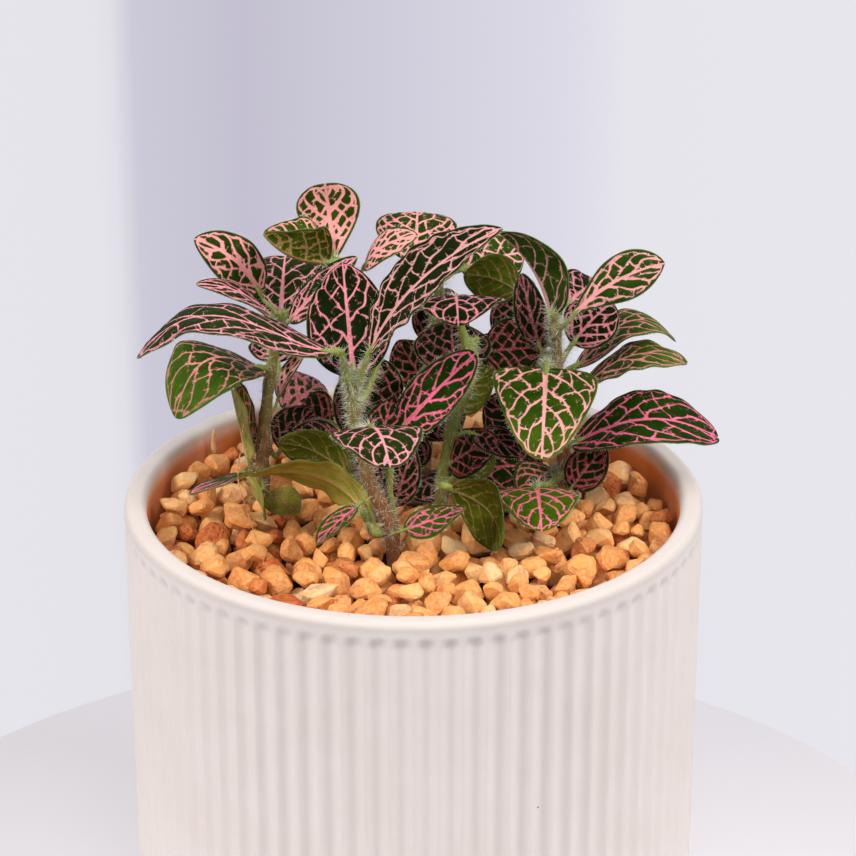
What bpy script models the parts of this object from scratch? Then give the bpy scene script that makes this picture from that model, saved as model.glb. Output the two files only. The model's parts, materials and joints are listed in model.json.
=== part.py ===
"""Nerve plant in a fluted cylinder pot: solid parts for CAD. Blender 4.5, metres, +Z up.

The origin is the centre of the pot's flat base. Leaf and stem places are millimetres from the centre of
the rim plane: x to the right, y to the back, z up from the rim.
"""

import math
from dataclasses import dataclass

import bmesh
import bpy
import numpy as np
from mathutils import Vector, noise

MM = 0.001

# Pot, millimetres
POT_HEIGHT = 115.0
POT_TOP_RADIUS = 62.5
POT_BASE_RADIUS = 61.5
POT_WALL = 4.8
FLOOR_THICKNESS = 6.0
BASE_CHAMFER = 1.2
FLUTE_COUNT = 80
FLUTE_DEPTH = 0.7
RIM_BAND = 3.2
LIP_ROUND = 1.6

# Fill, millimetres below the rim
GAP = 0.3
GRAVEL_TOP = -6.6
GRAVEL_LUMP = 1.12
GRAVEL_BOTTOM = -17.0
GRAVEL_RINGS = 7
GRAVEL_SPOKES = 40
ROOT_DEPTH = -30.0

# Plant, millimetres
STEM_RADIUS = 1.4
PETIOLE_RADIUS = 0.9
PETIOLE_GAP = 0.5
PETIOLE_LEAD = 1.6
ROOT_HOLE_RADIUS = STEM_RADIUS + 0.48
BLADE_THICKNESS = 0.4
BLADE_ROWS = 7
BLADE_COLUMNS = 4
SMALL_BLADE = 15.0
SMALL_ROWS = 5

STEMS = {
    "front_stem": (
        (-4.5, -12, -30), (-4.5, -12, -6), (-6.5, -12, 1.5), (-9, -12, 7.5),
        (-11, -12, 14.5), (-12.5, -12, 21), (-13, -12, 30),
    ),
    "left_stem": (
        (-33.5, 19, -30), (-33.5, 19, -6), (-33.5, 19, 1.5), (-32.5, 19, 11),
        (-31.5, 20, 19), (-30, 20, 26.5), (-28.5, 20, 31),
    ),
    "right_stem": (
        (34, 13, -30), (34, 13, -6), (33, 12, 3.5), (32, 12, 11.5),
        (31, 11, 21.5), (31, 11, 28.5), (30.5, 10, 35),
    ),
    "middle_stem": (
        (6, 8, -30), (6, 8, -6), (7, 8, 3.5), (9, 8, 13.5), (12, 10, 21), (13, 14, 27),
    ),
    "tall_left_stem": (
        (-13.5, 20, -30), (-13.5, 20, -6), (-15, 20, 13), (-15, 20, 27.5), (-15, 20, 39), (-16, 20, 43),
    ),
    "tall_right_stem": (
        (2.5, 24, -30), (2.5, 24, -6), (3, 24, 6.5), (4, 24, 23.5), (5.5, 25, 37), (5, 25, 41),
    ),
    "back_stem": (
        (24, 26, -30), (24, 26, -6), (26, 26, 3), (27.5, 26, 17.5), (29, 26, 27.5),
    ),
}
SIDE_SHOOTS = {
    "front_stem": ((-4.5, -12, -8), (-4.5, -9.5, -2), (-5, -9, 2.5), (-5, -9, 10.5), (-3.5, -9, 16)),
}
SHOOT_LEAVES = ("middle_leaf_3", "low_leaf_2", "low_leaf_3")


@dataclass(frozen=True)
class Leaf:
    """One blade. base and tip are its ends, face is the way its upper side looks, folds lift its halves."""

    name: str
    stem: str
    node: float
    base: tuple
    tip: tuple
    width: float
    face: tuple
    folds: tuple = (4, 4)
    arch: float = 2.0
    bow: float = 0.0
    skew: float = 1.0
    curl: float = 10.0
    twist: float = 0.0
    widest: float = 0.85
    blunt: float = 0.75
    sag: float = 0.12


LEAVES = (
    Leaf(
        "front_leaf_1", "front_stem", 29, (-17, -15, 39), (-57, -16, 38), 18, (0, 0, 1),
        arch=9, skew=1.5, curl=16, widest=0.95,
    ),
    Leaf(
        "front_leaf_2", "front_stem", 29, (-9, -14, 38.5), (18, -24, 69.5), 15, (-2, -3, 2),
        (0, 35), arch=3, bow=-2.5, widest=0.8,
    ),
    Leaf(
        "front_leaf_3", "front_stem", 28, (-12.5, -9, 31), (-15, 8, 50), 18, (0, -2, 1),
        (8, 8), curl=20, widest=0.75,
    ),
    Leaf(
        "front_leaf_4", "front_stem", 20, (-8, -20, 24), (-3.5, -38, 23), 19, (0, 0, 1),
        (0, 0), arch=3, widest=0.6, blunt=0.5,
    ),
    Leaf(
        "front_leaf_5", "front_stem", -3, (-9.5, -13, -1.5), (-47.5, -14, 6), 11, (0, 3, 4),
        (5, 5), arch=9, skew=0.76, twist=-50,
    ),
    Leaf(
        "front_leaf_6", "front_stem", 24, (-7, -4, 33), (-13, -2, 13.5), 12, (1, -4, 1),
        (6, 6), arch=1, curl=14,
    ),
    Leaf(
        "left_leaf_1", "tall_left_stem", 43, (-17, 22, 45), (-19, 26, 61.5), 14, (0, -4, 1),
        (6, 6), arch=-2, curl=4, widest=1.5, blunt=0.48,
    ),
    Leaf(
        "left_leaf_2", "tall_left_stem", 43, (-18, 18, 46.5), (-32, 14, 54.5), 22, (0, 0, 1),
        (70, 50), arch=-2, curl=20, widest=0.6,
    ),
    Leaf(
        "left_leaf_3", "left_stem", 31, (-33.5, 24, 37), (-47.5, 24, 49.5), 11, (-1, -3, 3),
        (0, 0), bow=1.7, curl=8, sag=-0.1,
    ),
    Leaf(
        "left_leaf_4", "left_stem", 31, (-31, 19, 33), (-46.5, 12, 43.5), 10, (0, -1, 6),
        (0, 0), arch=2.5, curl=6,
    ),
    Leaf(
        "left_leaf_5", "left_stem", 26, (-29, 23, 31), (-27, 42, 38.5), 19, (0, -1, 2),
        (10, 10), curl=16, widest=1.1, blunt=0.7,
    ),
    Leaf("left_leaf_6", "left_stem", 31, (-27, 18, 32.5), (-12, 14, 49), 8, (0, -2, 3), arch=1, curl=8),
    Leaf(
        "left_leaf_7", "left_stem", 20, (-32.5, 19, 21), (-50.5, 6, 15), 17.5, (-2, -2, 3),
        (0, 0), arch=10, skew=1.25, widest=1.3,
    ),
    Leaf(
        "left_leaf_8", "left_stem", -3, (-36.5, 18, 0), (-40, 14, 21), 8, (3, -1, 1),
        (45, 20), arch=0, curl=0,
    ),
    Leaf(
        "left_leaf_9", "left_stem", 10, (-30, 24, 12), (-23.5, 30, 21), 6, (-2, -1, 2),
        (10, 10), arch=1, curl=0,
    ),
    Leaf("left_leaf_10", "left_stem", 2, (-29, 34, 4), (-21, 44, 7), 13, (0, -3, 2), (6, 6), curl=12),
    Leaf(
        "left_leaf_11", "left_stem", 17, (-30, 26, 19.5), (-31.5, 38, 22), 12, (0, -2, 2),
        (6, 6), arch=1, curl=12,
    ),
    Leaf(
        "right_leaf_1", "right_stem", 34, (34, 8, 37.5), (53, 2, 52), 10.5, (-1, -3, 2),
        arch=1, bow=-1.7, curl=8, widest=1.6, blunt=0.85,
    ),
    Leaf(
        "right_leaf_2", "right_stem", 34, (30, 11, 36.5), (18.5, 14, 54.5), 11, (3, 2, 2),
        (30, 40), arch=2.2, curl=8,
    ),
    Leaf(
        "right_leaf_3", "right_stem", 24, (28.5, 6, 26.5), (27, -14, 14), 22.5, (0, -2, 2),
        (2, 2), arch=3, curl=8, widest=0.42, blunt=0.6,
    ),
    Leaf(
        "right_leaf_4", "right_stem", 18, (35.5, 22, 20), (58, 26, 24.5), 14, (0, 0, 1),
        arch=7.5, skew=1.4, curl=12, widest=1.15,
    ),
    Leaf(
        "right_leaf_5", "right_stem", 15, (36, 14, 18), (59.5, 14, 24), 13, (0, 0, 1),
        (2, 2), arch=5, skew=1.2, curl=8, widest=1.25,
    ),
    Leaf(
        "right_leaf_6", "right_stem", 5, (35, 10, 7), (66, 6, 10), 17.5, (0, -2, 3),
        (-4, 25), arch=8.5, skew=1.15, widest=1.0,
    ),
    Leaf("right_leaf_7", "right_stem", -5, (34.5, 7, -2.5), (42, 10, 6), 9.5, (-1, -3, 2), arch=1),
    Leaf(
        "right_leaf_8", "right_stem", 0, (26.5, -2, 2), (27, -20, 0), 18, (0, -1, 6),
        (0, 0), curl=8, widest=0.5, blunt=0.65,
    ),
    Leaf("right_leaf_9", "right_stem", 25, (34.5, 13.5, 29), (43.5, 20, 36), 10, (-1, -3, 2), curl=14),
    Leaf("right_leaf_10", "right_stem", 33, (33.5, 22, 35), (41, 36, 35), 9, (0, -3, 2), arch=1, curl=14),
    Leaf(
        "right_leaf_11", "right_stem", 22, (27.5, 12.5, 28.5), (23.5, 18.5, 43.5), 7.5, (-1, -3, 1),
        (6, 6), arch=1, curl=14,
    ),
    Leaf(
        "middle_leaf_1", "tall_right_stem", 41, (0.5, 24, 44), (1, 38, 50.5), 18, (0, -3, 2),
        (6, 6), widest=1.15, blunt=0.55,
    ),
    Leaf("middle_leaf_2", "tall_left_stem", 42, (-10.5, 18, 45.5), (1, 12, 54.5), 10, (0, -1, 2), (6, 6)),
    Leaf(
        "middle_leaf_3", "front_stem", 16, (-3, -8, 18), (13, -10, 36.5), 11.5, (-2, -4, 2),
        arch=1, curl=12,
    ),
    Leaf(
        "middle_leaf_4", "middle_stem", 26, (9, 12.5, 40), (9.5, -3.5, 40), 16, (0, -1, 3),
        (0, 0), arch=3, widest=0.6,
    ),
    Leaf(
        "middle_leaf_5", "front_stem", -3, (-2, -18, -0.5), (11, -20, 5.5), 6, (-1, -2, 3),
        (0, 0), arch=0, twist=60,
    ),
    Leaf(
        "middle_leaf_6", "middle_stem", -1, (8, -9, 5), (18.5, -21, -3), 15, (2, 3, 1),
        (0, 0), arch=4, curl=16, widest=1.0,
    ),
    Leaf("inner_leaf_1", "tall_right_stem", 40, (10.5, 30, 40), (24.5, 38, 41), 11, (0, -3, 2), curl=14),
    Leaf("inner_leaf_2", "back_stem", 25.5, (23, 23, 38), (11, 24, 41), 10, (0, 3, 1), curl=14),
    Leaf("inner_leaf_3", "back_stem", 22, (26, 26, 30), (18, 30, 32.5), 9, (0, -3, 2), arch=1),
    Leaf("inner_leaf_4", "middle_stem", 20, (8.5, 14, 22), (8.5, 24, 30), 14, (0, -3, 2), curl=14),
    Leaf(
        "inner_leaf_5", "tall_right_stem", 20, (15.5, 19, 25), (28, 21, 25), 9, (0, -3, 2),
        arch=1, curl=14,
    ),
    Leaf("shade_leaf_1", "tall_left_stem", 3, (-18, 23.5, 6), (-26, 30, 6), 12, (0, -3, 2), curl=14),
    Leaf("shade_leaf_2", "tall_left_stem", 3, (-16, 16, 5.5), (-27, 15, 7), 7, (0, -2, 2), curl=14),
    Leaf(
        "shade_leaf_3", "tall_left_stem", -4, (-14, 7, 0.5), (-29.5, 10, 7.5), 9, (0, 3, 1),
        arch=3, curl=14,
    ),
    Leaf("under_leaf_1", "middle_stem", 10, (13, 4, 12), (23.5, 0, 8.5), 6, (0, -1, 3), arch=1),
    Leaf("under_leaf_2", "right_stem", -4, (29, 14, -1), (10.5, 12, -1), 13, (0, -2, 3), curl=14),
    Leaf("under_leaf_3", "middle_stem", -1, (10.5, 6.5, 2.5), (17.5, 10.5, 7.5), 8, (1, 3, 1), arch=1),
    Leaf(
        "low_leaf_1", "front_stem", -5, (-13.5, -16, 1), (-20.5, -22, -2), 5, (-1, -1, 3),
        (10, 10), arch=3, curl=0, sag=0.2,
    ),
    Leaf("low_leaf_2", "front_stem", 0, (-10.5, -1, 1), (-15.5, -7, 2), 6, (0, -2, 3), arch=1),
    Leaf("low_leaf_3", "front_stem", 0, (-5.5, -6, 1.5), (-9, -3, 9), 5, (1, -3, 1), arch=0),
    Leaf("low_leaf_4", "left_stem", -3, (-36.5, 10, -0.5), (-32, -4, -4.5), 5, (-1, -2, 3), arch=1),
    Leaf("low_leaf_5", "left_stem", -5, (-31.5, 5, -2.5), (-25, -2, -4.5), 5.5, (0, -2, 3), arch=1),
)

COLOURS = {
    "pot": (0.80, 0.76, 0.72, 0.55),
    "potting_soil": (0.035, 0.022, 0.014, 0.95),
    "gravel_bed": (0.62, 0.34, 0.13, 0.8),
    "stem": (0.24, 0.22, 0.06, 0.6),
    "leaf": (0.035, 0.12, 0.02, 0.5),
}


def clear_scene():
    """Remove every object the session starts with."""
    for obj in list(bpy.data.objects):
        bpy.data.objects.remove(obj, do_unlink=True)


def make_collection(name, cutters=False):
    """Add a collection; a cutters' one is left out of the render."""
    group = bpy.data.collections.new(name)
    bpy.context.scene.collection.children.link(group)
    group.hide_render = cutters
    return group


def material(name, key):
    """A Principled material of its own for one part."""
    red, green, blue, rough = COLOURS[key]
    made = bpy.data.materials.new(name + "_material")
    made.use_nodes = True
    shader = made.node_tree.nodes["Principled BSDF"]
    shader.inputs["Base Color"].default_value = (red, green, blue, 1.0)
    shader.inputs["Roughness"].default_value = rough
    return made


def from_bmesh(name, mesh, group, key):
    """Turn a bmesh into a named part with outward faces."""
    bmesh.ops.recalc_face_normals(mesh, faces=mesh.faces)
    data = bpy.data.meshes.new(name)
    mesh.to_mesh(data)
    mesh.free()
    obj = bpy.data.objects.new(name, data)
    group.objects.link(obj)
    data.materials.append(material(name, key))
    return obj


def evaluated_bmesh(obj):
    """The object's finished mesh in world space, as a bmesh with doubled points joined."""
    graph = bpy.context.evaluated_depsgraph_get()
    graph.update()
    data = bpy.data.meshes.new_from_object(obj.evaluated_get(graph))
    mesh = bmesh.new()
    mesh.from_mesh(data)
    mesh.transform(obj.matrix_world)
    bmesh.ops.remove_doubles(mesh, verts=mesh.verts, dist=1e-6)
    bpy.data.meshes.remove(data)
    return mesh


def lathe(name, profile, group, steps):
    """A Screw of a profile of (radius, height) pairs in millimetres about Z."""
    data = bpy.data.meshes.new(name)
    points = [(r * MM, 0.0, z * MM) for r, z in profile]
    data.from_pydata(points, [(i, i + 1) for i in range(len(points) - 1)], [])
    obj = bpy.data.objects.new(name, data)
    group.objects.link(obj)
    screw = obj.modifiers.new("turn", "SCREW")
    screw.steps = steps
    screw.render_steps = steps
    screw.use_merge_vertices = True
    screw.merge_threshold = 0.00001
    return obj


def boolean(obj, other, operation):
    """Join or cut with an exact Boolean."""
    cut = obj.modifiers.new(operation.lower(), "BOOLEAN")
    cut.operation = operation
    cut.solver = "EXACT"
    cut.object = other


def build_pot(group, cutters):
    """The lathed pot, its outer wall drawn in along every second column to make the flutes."""
    low, high = BASE_CHAMFER + 1.5, POT_HEIGHT - RIM_BAND - 2.0
    inner = POT_TOP_RADIUS - POT_WALL
    profile = (
        (0.0, 0.0),
        (POT_BASE_RADIUS - BASE_CHAMFER, 0.0),
        (POT_BASE_RADIUS, BASE_CHAMFER),
        (POT_BASE_RADIUS, low),
        (POT_TOP_RADIUS, high),
        (POT_TOP_RADIUS, POT_HEIGHT - LIP_ROUND),
        (POT_TOP_RADIUS - LIP_ROUND, POT_HEIGHT),
        (inner + LIP_ROUND, POT_HEIGHT),
        (inner, POT_HEIGHT - LIP_ROUND),
        (inner - 1.0, FLOOR_THICKNESS),
        (0.0, FLOOR_THICKNESS),
    )
    turned = lathe("pot_turned", profile, cutters, FLUTE_COUNT * 2)
    mesh = evaluated_bmesh(turned)
    for point in mesh.verts:
        height = point.co.z / MM
        radius = math.hypot(point.co.x, point.co.y) / MM
        column = round(math.atan2(point.co.y, point.co.x) / math.pi * FLUTE_COUNT)
        if radius > POT_BASE_RADIUS - 0.5 and low - 0.1 < height < high + 0.1 and column % 2:
            scale = (radius - FLUTE_DEPTH) / radius
            point.co.x *= scale
            point.co.y *= scale
    return from_bmesh("pot", mesh, group, "pot")


def root_cutter(cutters):
    """Round posts a gap wider than the stems, where the stems go down through the fill."""
    mesh = bmesh.new()
    for path in STEMS.values():
        x, y, _ = path[0]
        top, bottom = 5.0, ROOT_DEPTH - GAP
        made = bmesh.ops.create_cone(
            mesh, cap_ends=True, segments=12, depth=(top - bottom) * MM,
            radius1=ROOT_HOLE_RADIUS * MM, radius2=ROOT_HOLE_RADIUS * MM,
        )
        centre = Vector((x, y, POT_HEIGHT + (top + bottom) / 2)) * MM
        bmesh.ops.translate(mesh, verts=made["verts"], vec=centre)
    return from_bmesh("root_holes", mesh, cutters, "stem")


def build_soil(group, holes):
    """The soil plug between the pot's floor and the gravel."""
    wall = POT_TOP_RADIUS - POT_WALL
    foot = FLOOR_THICKNESS + GAP
    top = POT_HEIGHT + GRAVEL_BOTTOM - GAP
    profile = ((0.0, foot), (wall - 1.0 - GAP, foot), (wall - 0.2 - GAP, top), (0.0, top))
    soil = lathe("potting_soil", profile, group, 32)
    soil.data.materials.append(material("potting_soil", "potting_soil"))
    boolean(soil, holes, "DIFFERENCE")
    return soil


def lump(x, y):
    """Height of the gravel's uneven top above its level."""
    return GRAVEL_LUMP * noise.noise(Vector((x * 0.13, y * 0.13, 4.0)))


def build_gravel(group, holes):
    """The layer of loose stones as one uneven disc."""
    wall = POT_TOP_RADIUS - POT_WALL - 0.4 - GAP
    level = POT_HEIGHT + GRAVEL_TOP
    rings = [(wall * i / GRAVEL_RINGS, level) for i in range(GRAVEL_RINGS + 1)]
    profile = rings + [(wall, POT_HEIGHT + GRAVEL_BOTTOM), (0.0, POT_HEIGHT + GRAVEL_BOTTOM)]
    turned = lathe("gravel_turned", profile, holes.users_collection[0], GRAVEL_SPOKES)
    mesh = evaluated_bmesh(turned)
    for point in mesh.verts:
        if abs(point.co.z / MM - level) < 0.01:
            point.co.z += lump(point.co.x / MM, point.co.y / MM) * MM
    gravel = from_bmesh("gravel_bed", mesh, group, "gravel_bed")
    boolean(gravel, holes, "DIFFERENCE")
    return gravel


def tube(name, path, radius, sides, group):
    """A round bar along a path of millimetre points from the rim plane."""
    curve = bpy.data.curves.new(name, "CURVE")
    curve.dimensions = "3D"
    curve.bevel_depth = radius * MM
    curve.bevel_resolution = (sides - 4) // 2
    curve.use_fill_caps = True
    spline = curve.splines.new("POLY")
    spline.points.add(len(path) - 1)
    for point, place in zip(spline.points, path):
        x, y, z = place
        point.co = (x * MM, y * MM, (z + POT_HEIGHT) * MM, 1.0)
    obj = bpy.data.objects.new(name, curve)
    group.objects.link(obj)
    return obj


def place_on(path, height):
    """The point of a stem's path at a height above the rim plane."""
    points = np.array(path, float)
    height = min(max(height, points[0][2]), points[-1][2])
    return np.array([np.interp(height, points[:, 2], points[:, k]) for k in range(3)])


def petiole_path(leaf):
    """From inside the stem to just short of the blade, which it meets in the blade's own direction."""
    path = SIDE_SHOOTS[leaf.stem] if leaf.name in SHOOT_LEAVES else STEMS[leaf.stem]
    start = place_on(path, leaf.node)
    base = blade_point(leaf, 0.0, 0.0)
    along = blade_point(leaf, 0.04, 0.0) - base
    along /= np.linalg.norm(along)
    end = base - along * PETIOLE_GAP
    lead = end - along * PETIOLE_LEAD
    reach = np.linalg.norm(lead - start)
    bend = (start + lead) / 2 - np.array((0, 0, leaf.sag * reach))
    return (tuple(start), tuple(bend), tuple(lead), tuple(end))


def build_stem(name, group, cutters):
    """A stem with its side shoot and its leaves' petioles, joined to one solid."""
    pieces = [tube(name + "_axis", STEMS[name], STEM_RADIUS, 8, cutters)]
    if name in SIDE_SHOOTS:
        pieces.append(tube(name + "_shoot", SIDE_SHOOTS[name], STEM_RADIUS * 0.8, 8, cutters))
    for leaf in LEAVES:
        if leaf.stem == name:
            pieces.append(tube(leaf.name + "_petiole", petiole_path(leaf), PETIOLE_RADIUS, 6, cutters))
    solids = []
    for piece in pieces:
        solids.append(from_bmesh(piece.name + "_solid", evaluated_bmesh(piece), cutters, "stem"))
    stem = from_bmesh(name, evaluated_bmesh(pieces[0]), group, "stem")
    for solid in solids[1:]:
        boolean(stem, solid, "UNION")
    return stem


def blade_point(leaf, t, u):
    """Middle surface of a blade: t from base to tip, u from its left edge at -1 to its right edge at 1."""
    base, tip = np.array(leaf.base, float), np.array(leaf.tip, float)
    along = tip - base
    length = np.linalg.norm(along)
    along /= length
    up = np.array(leaf.face, float)
    up -= (up @ along) * along
    up /= np.linalg.norm(up)
    side = np.cross(along, up)
    ts = t ** leaf.skew
    hump = 4 * ts * (1 - ts)
    slope = 4 * (1 - 2 * ts) * leaf.skew * max(t, 0.02) ** (leaf.skew - 1) / length
    middle = base + along * (t * length) + up * (leaf.arch * hump) + side * (leaf.bow * hump)
    tangent = along + up * (leaf.arch * slope) + side * (leaf.bow * slope)
    tangent /= np.linalg.norm(tangent)
    normal = np.cross(side, tangent)
    normal /= np.linalg.norm(normal)
    across = np.cross(tangent, normal)
    turn = math.radians(leaf.twist) * (t - 0.5)
    across, normal = (
        across * math.cos(turn) + normal * math.sin(turn),
        normal * math.cos(turn) - across * math.sin(turn),
    )
    swell = math.sin(math.pi * min(max(t, 1e-6), 1 - 1e-6) ** leaf.widest) ** leaf.blunt
    half = max(leaf.width / 2 * swell, 0.7 * (1 - t) + 0.35 * t)
    fold = math.radians(leaf.folds[0] if u < 0 else leaf.folds[1])
    curl = math.radians(leaf.curl) or 1e-4
    out = (math.sin(fold) - math.sin(fold - curl * abs(u))) / curl
    lift = (math.cos(fold - curl * abs(u)) - math.cos(fold)) / curl
    return middle + across * (math.copysign(out, u) * half) + normal * (lift * half)


def build_leaf(leaf, group):
    """A blade: a grid laid on the leaf's surface and given thickness by Solidify."""
    length = math.dist(leaf.base, leaf.tip)
    small = length < SMALL_BLADE
    rows = SMALL_ROWS if small else BLADE_ROWS
    columns = BLADE_COLUMNS
    mesh = bmesh.new()
    bmesh.ops.create_grid(mesh, x_segments=rows, y_segments=columns, size=1.0)
    for point in mesh.verts:
        t = (1 - math.cos((point.co.x + 1) / 2 * math.pi)) / 2
        x, y, z = blade_point(leaf, t, point.co.y)
        point.co = Vector((x, y, z + POT_HEIGHT)) * MM
    obj = from_bmesh(leaf.name, mesh, group, "leaf")
    shell = obj.modifiers.new("thickness", "SOLIDIFY")
    shell.thickness = BLADE_THICKNESS * MM
    shell.offset = 0.0
    return obj


def main():
    """Build every part of the plant and its pot."""
    clear_scene()
    group = make_collection("potted_nerve_plant")
    cutters = make_collection("cutters", cutters=True)
    build_pot(group, cutters)
    holes = root_cutter(cutters)
    build_soil(group, holes)
    build_gravel(group, holes)
    for name in STEMS:
        build_stem(name, group, cutters)
    for leaf in LEAVES:
        build_leaf(leaf, group)
    for obj in cutters.objects:
        obj.display_type = "WIRE"
        obj.hide_render = True


main()
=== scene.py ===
"""Nerve plant growing through loose stones in a fluted white pot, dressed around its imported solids.

Metres, +Z up, the origin at the centre of the pot's flat base. Places on the plant are written in
millimetres from the centre of the rim plane: x to the right, y to the back, z up from the rim.
"""

import json  # noqa: E402
import logging  # noqa: E402
import math  # noqa: E402
from dataclasses import dataclass, field  # noqa: E402
from enum import Enum  # noqa: E402
from typing import Any, Callable  # noqa: E402

import bmesh  # noqa: E402
import bpy  # noqa: E402
import numpy as np  # noqa: E402
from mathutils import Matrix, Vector  # noqa: E402

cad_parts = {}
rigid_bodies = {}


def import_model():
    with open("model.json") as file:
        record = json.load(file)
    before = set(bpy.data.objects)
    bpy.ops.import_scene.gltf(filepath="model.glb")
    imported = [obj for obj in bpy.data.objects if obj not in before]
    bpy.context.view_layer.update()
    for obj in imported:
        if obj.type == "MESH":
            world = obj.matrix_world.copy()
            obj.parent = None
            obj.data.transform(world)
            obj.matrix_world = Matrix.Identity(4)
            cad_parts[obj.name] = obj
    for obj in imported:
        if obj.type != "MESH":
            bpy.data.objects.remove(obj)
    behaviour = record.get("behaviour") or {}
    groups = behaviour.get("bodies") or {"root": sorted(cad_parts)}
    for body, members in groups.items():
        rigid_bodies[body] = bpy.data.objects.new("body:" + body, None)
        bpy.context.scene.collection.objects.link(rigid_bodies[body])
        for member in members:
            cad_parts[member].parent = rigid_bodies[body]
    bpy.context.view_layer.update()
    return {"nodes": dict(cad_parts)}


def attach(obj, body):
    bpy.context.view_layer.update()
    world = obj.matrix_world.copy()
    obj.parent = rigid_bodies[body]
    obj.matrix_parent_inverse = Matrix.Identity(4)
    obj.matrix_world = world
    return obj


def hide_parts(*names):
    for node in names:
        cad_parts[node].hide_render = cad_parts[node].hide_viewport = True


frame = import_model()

LOG = logging.getLogger("nerve_plant")
MM = 0.001
POT_HEIGHT = 115.0
MOST_SEEDS = 100003


# ---------------------------------------------------------------- colours and arrays


def hue(code: str) -> tuple[float, float, float]:
    """Linear red, green and blue of a six-digit display colour.

    Args:
        code: The colour as RRGGBB in hexadecimal.

    Returns:
        Three linear values from 0 to 1.
    """
    parts = [int(code[i : i + 2], 16) / 255 for i in (0, 2, 4)]
    return tuple(p / 12.92 if p <= 0.04045 else ((p + 0.055) / 1.055) ** 2.4 for p in parts)


def unit(v: np.ndarray) -> np.ndarray:
    """Vectors scaled to length one along the last axis."""
    v = np.asarray(v, float)
    return v / np.maximum(np.linalg.norm(v, axis=-1, keepdims=True), 1e-9)


def smooth(x: np.ndarray, low: float, high: float) -> np.ndarray:
    """A soft step of x, 0 at low and 1 at high."""
    s = np.clip((x - low) / (high - low), 0, 1)
    return s * s * (3 - 2 * s)


def ripple(x: np.ndarray, y: np.ndarray, seed: int, wavelength: float) -> np.ndarray:
    """Smooth seeded waves over a plane, about -1 to 1.

    Args:
        x: First coordinate, in millimetres.
        y: Second coordinate, in millimetres.
        seed: Picks the waves.
        wavelength: Their usual length, in millimetres.

    Returns:
        The waves' height at each point.
    """
    rng = np.random.default_rng(seed)
    total = np.zeros(np.broadcast(x, y).shape)
    for _ in range(6):
        angle, phase = rng.uniform(0, math.tau, 2)
        pace = math.tau / (wavelength * rng.uniform(0.6, 1.6))
        total += np.sin(pace * (x * math.cos(angle) + y * math.sin(angle)) + phase)
    return total / 2.6


def to_metres(points: np.ndarray) -> np.ndarray:
    """Millimetres from the rim plane's centre, as metres from the pot's base."""
    return (np.asarray(points, float) + np.array((0, 0, POT_HEIGHT))) * MM


# ---------------------------------------------------------------- meshes


def make_mesh(name: str, points: np.ndarray, faces: list[np.ndarray]) -> bpy.types.Mesh:
    """A smooth-shaded mesh.

    Args:
        name: The mesh's name.
        points: Vertex places in metres, one row each.
        faces: Arrays of vertex numbers, one for each face size.

    Returns:
        The new mesh.
    """
    mesh = bpy.data.meshes.new(name)
    mesh.vertices.add(len(points))
    mesh.vertices.foreach_set("co", np.asarray(points, np.float32).ravel())
    loops = np.concatenate([f.ravel() for f in faces]) if faces else np.zeros(0)
    sizes = np.concatenate([np.full(len(f), f.shape[1]) for f in faces]) if faces else np.zeros(0)
    if len(sizes):
        mesh.loops.add(len(loops))
        mesh.loops.foreach_set("vertex_index", loops.astype(np.int32))
        mesh.polygons.add(len(sizes))
        starts = np.concatenate([[0], np.cumsum(sizes)[:-1]])
        mesh.polygons.foreach_set("loop_start", starts.astype(np.int32))
        mesh.polygons.foreach_set("use_smooth", np.ones(len(sizes), bool))
    mesh.update(calc_edges=True)
    mesh.validate()
    return mesh


def wrap(rows: int, columns: int) -> list[np.ndarray]:
    """Faces over rings of vertices that one more vertex closes at each end.

    Args:
        rows: How many rings there are.
        columns: Vertices in each ring.

    Returns:
        Four-sided faces between the rings, and three-sided faces to the two last vertices.
    """
    index = np.arange(rows * columns).reshape(rows, columns)
    turn = np.roll(index, -1, axis=1)
    quads = np.stack([index[:-1], turn[:-1], turn[1:], index[1:]], axis=-1).reshape(-1, 4)
    first = np.stack([np.full(columns, rows * columns), turn[0], index[0]], axis=1)
    last = np.stack([np.full(columns, rows * columns + 1), index[-1], turn[-1]], axis=1)
    return [quads, np.concatenate([first, last])]


def add_object(name: str, mesh: bpy.types.Mesh) -> bpy.types.Object:
    """Links a new object at the origin that shows the mesh.

    Args:
        name: The object's name.
        mesh: Its mesh.

    Returns:
        The object.
    """
    obj = bpy.data.objects.new(name, mesh)
    bpy.context.scene.collection.objects.link(obj)
    return obj


def set_numbers(mesh: bpy.types.Mesh, name: str, values: np.ndarray, kind: str = "FLOAT") -> None:
    """Stores one value for each vertex.

    Args:
        mesh: The mesh that takes the attribute.
        name: The attribute's name.
        values: One number, whole number, vector or linear colour for each vertex.
        kind: FLOAT, INT, FLOAT_VECTOR or FLOAT_COLOR.
    """
    made = mesh.attributes.new(name, kind, "POINT")
    if kind == "FLOAT_COLOR":
        values = np.concatenate([values, np.ones((len(values), 1))], axis=1)
    key = {"FLOAT": "value", "INT": "value", "FLOAT_VECTOR": "vector", "FLOAT_COLOR": "color"}[kind]
    dtype = np.int32 if kind == "INT" else np.float32
    made.data.foreach_set(key, np.asarray(values).astype(dtype).ravel())


def places_of(obj: bpy.types.Object) -> np.ndarray:
    """The vertices of an object's mesh.

    Args:
        obj: The object.

    Returns:
        Places in metres, one row each.
    """
    flat = np.zeros(len(obj.data.vertices) * 3, np.float32)
    obj.data.vertices.foreach_get("co", flat)
    return flat.reshape(-1, 3).astype(float)


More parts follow.
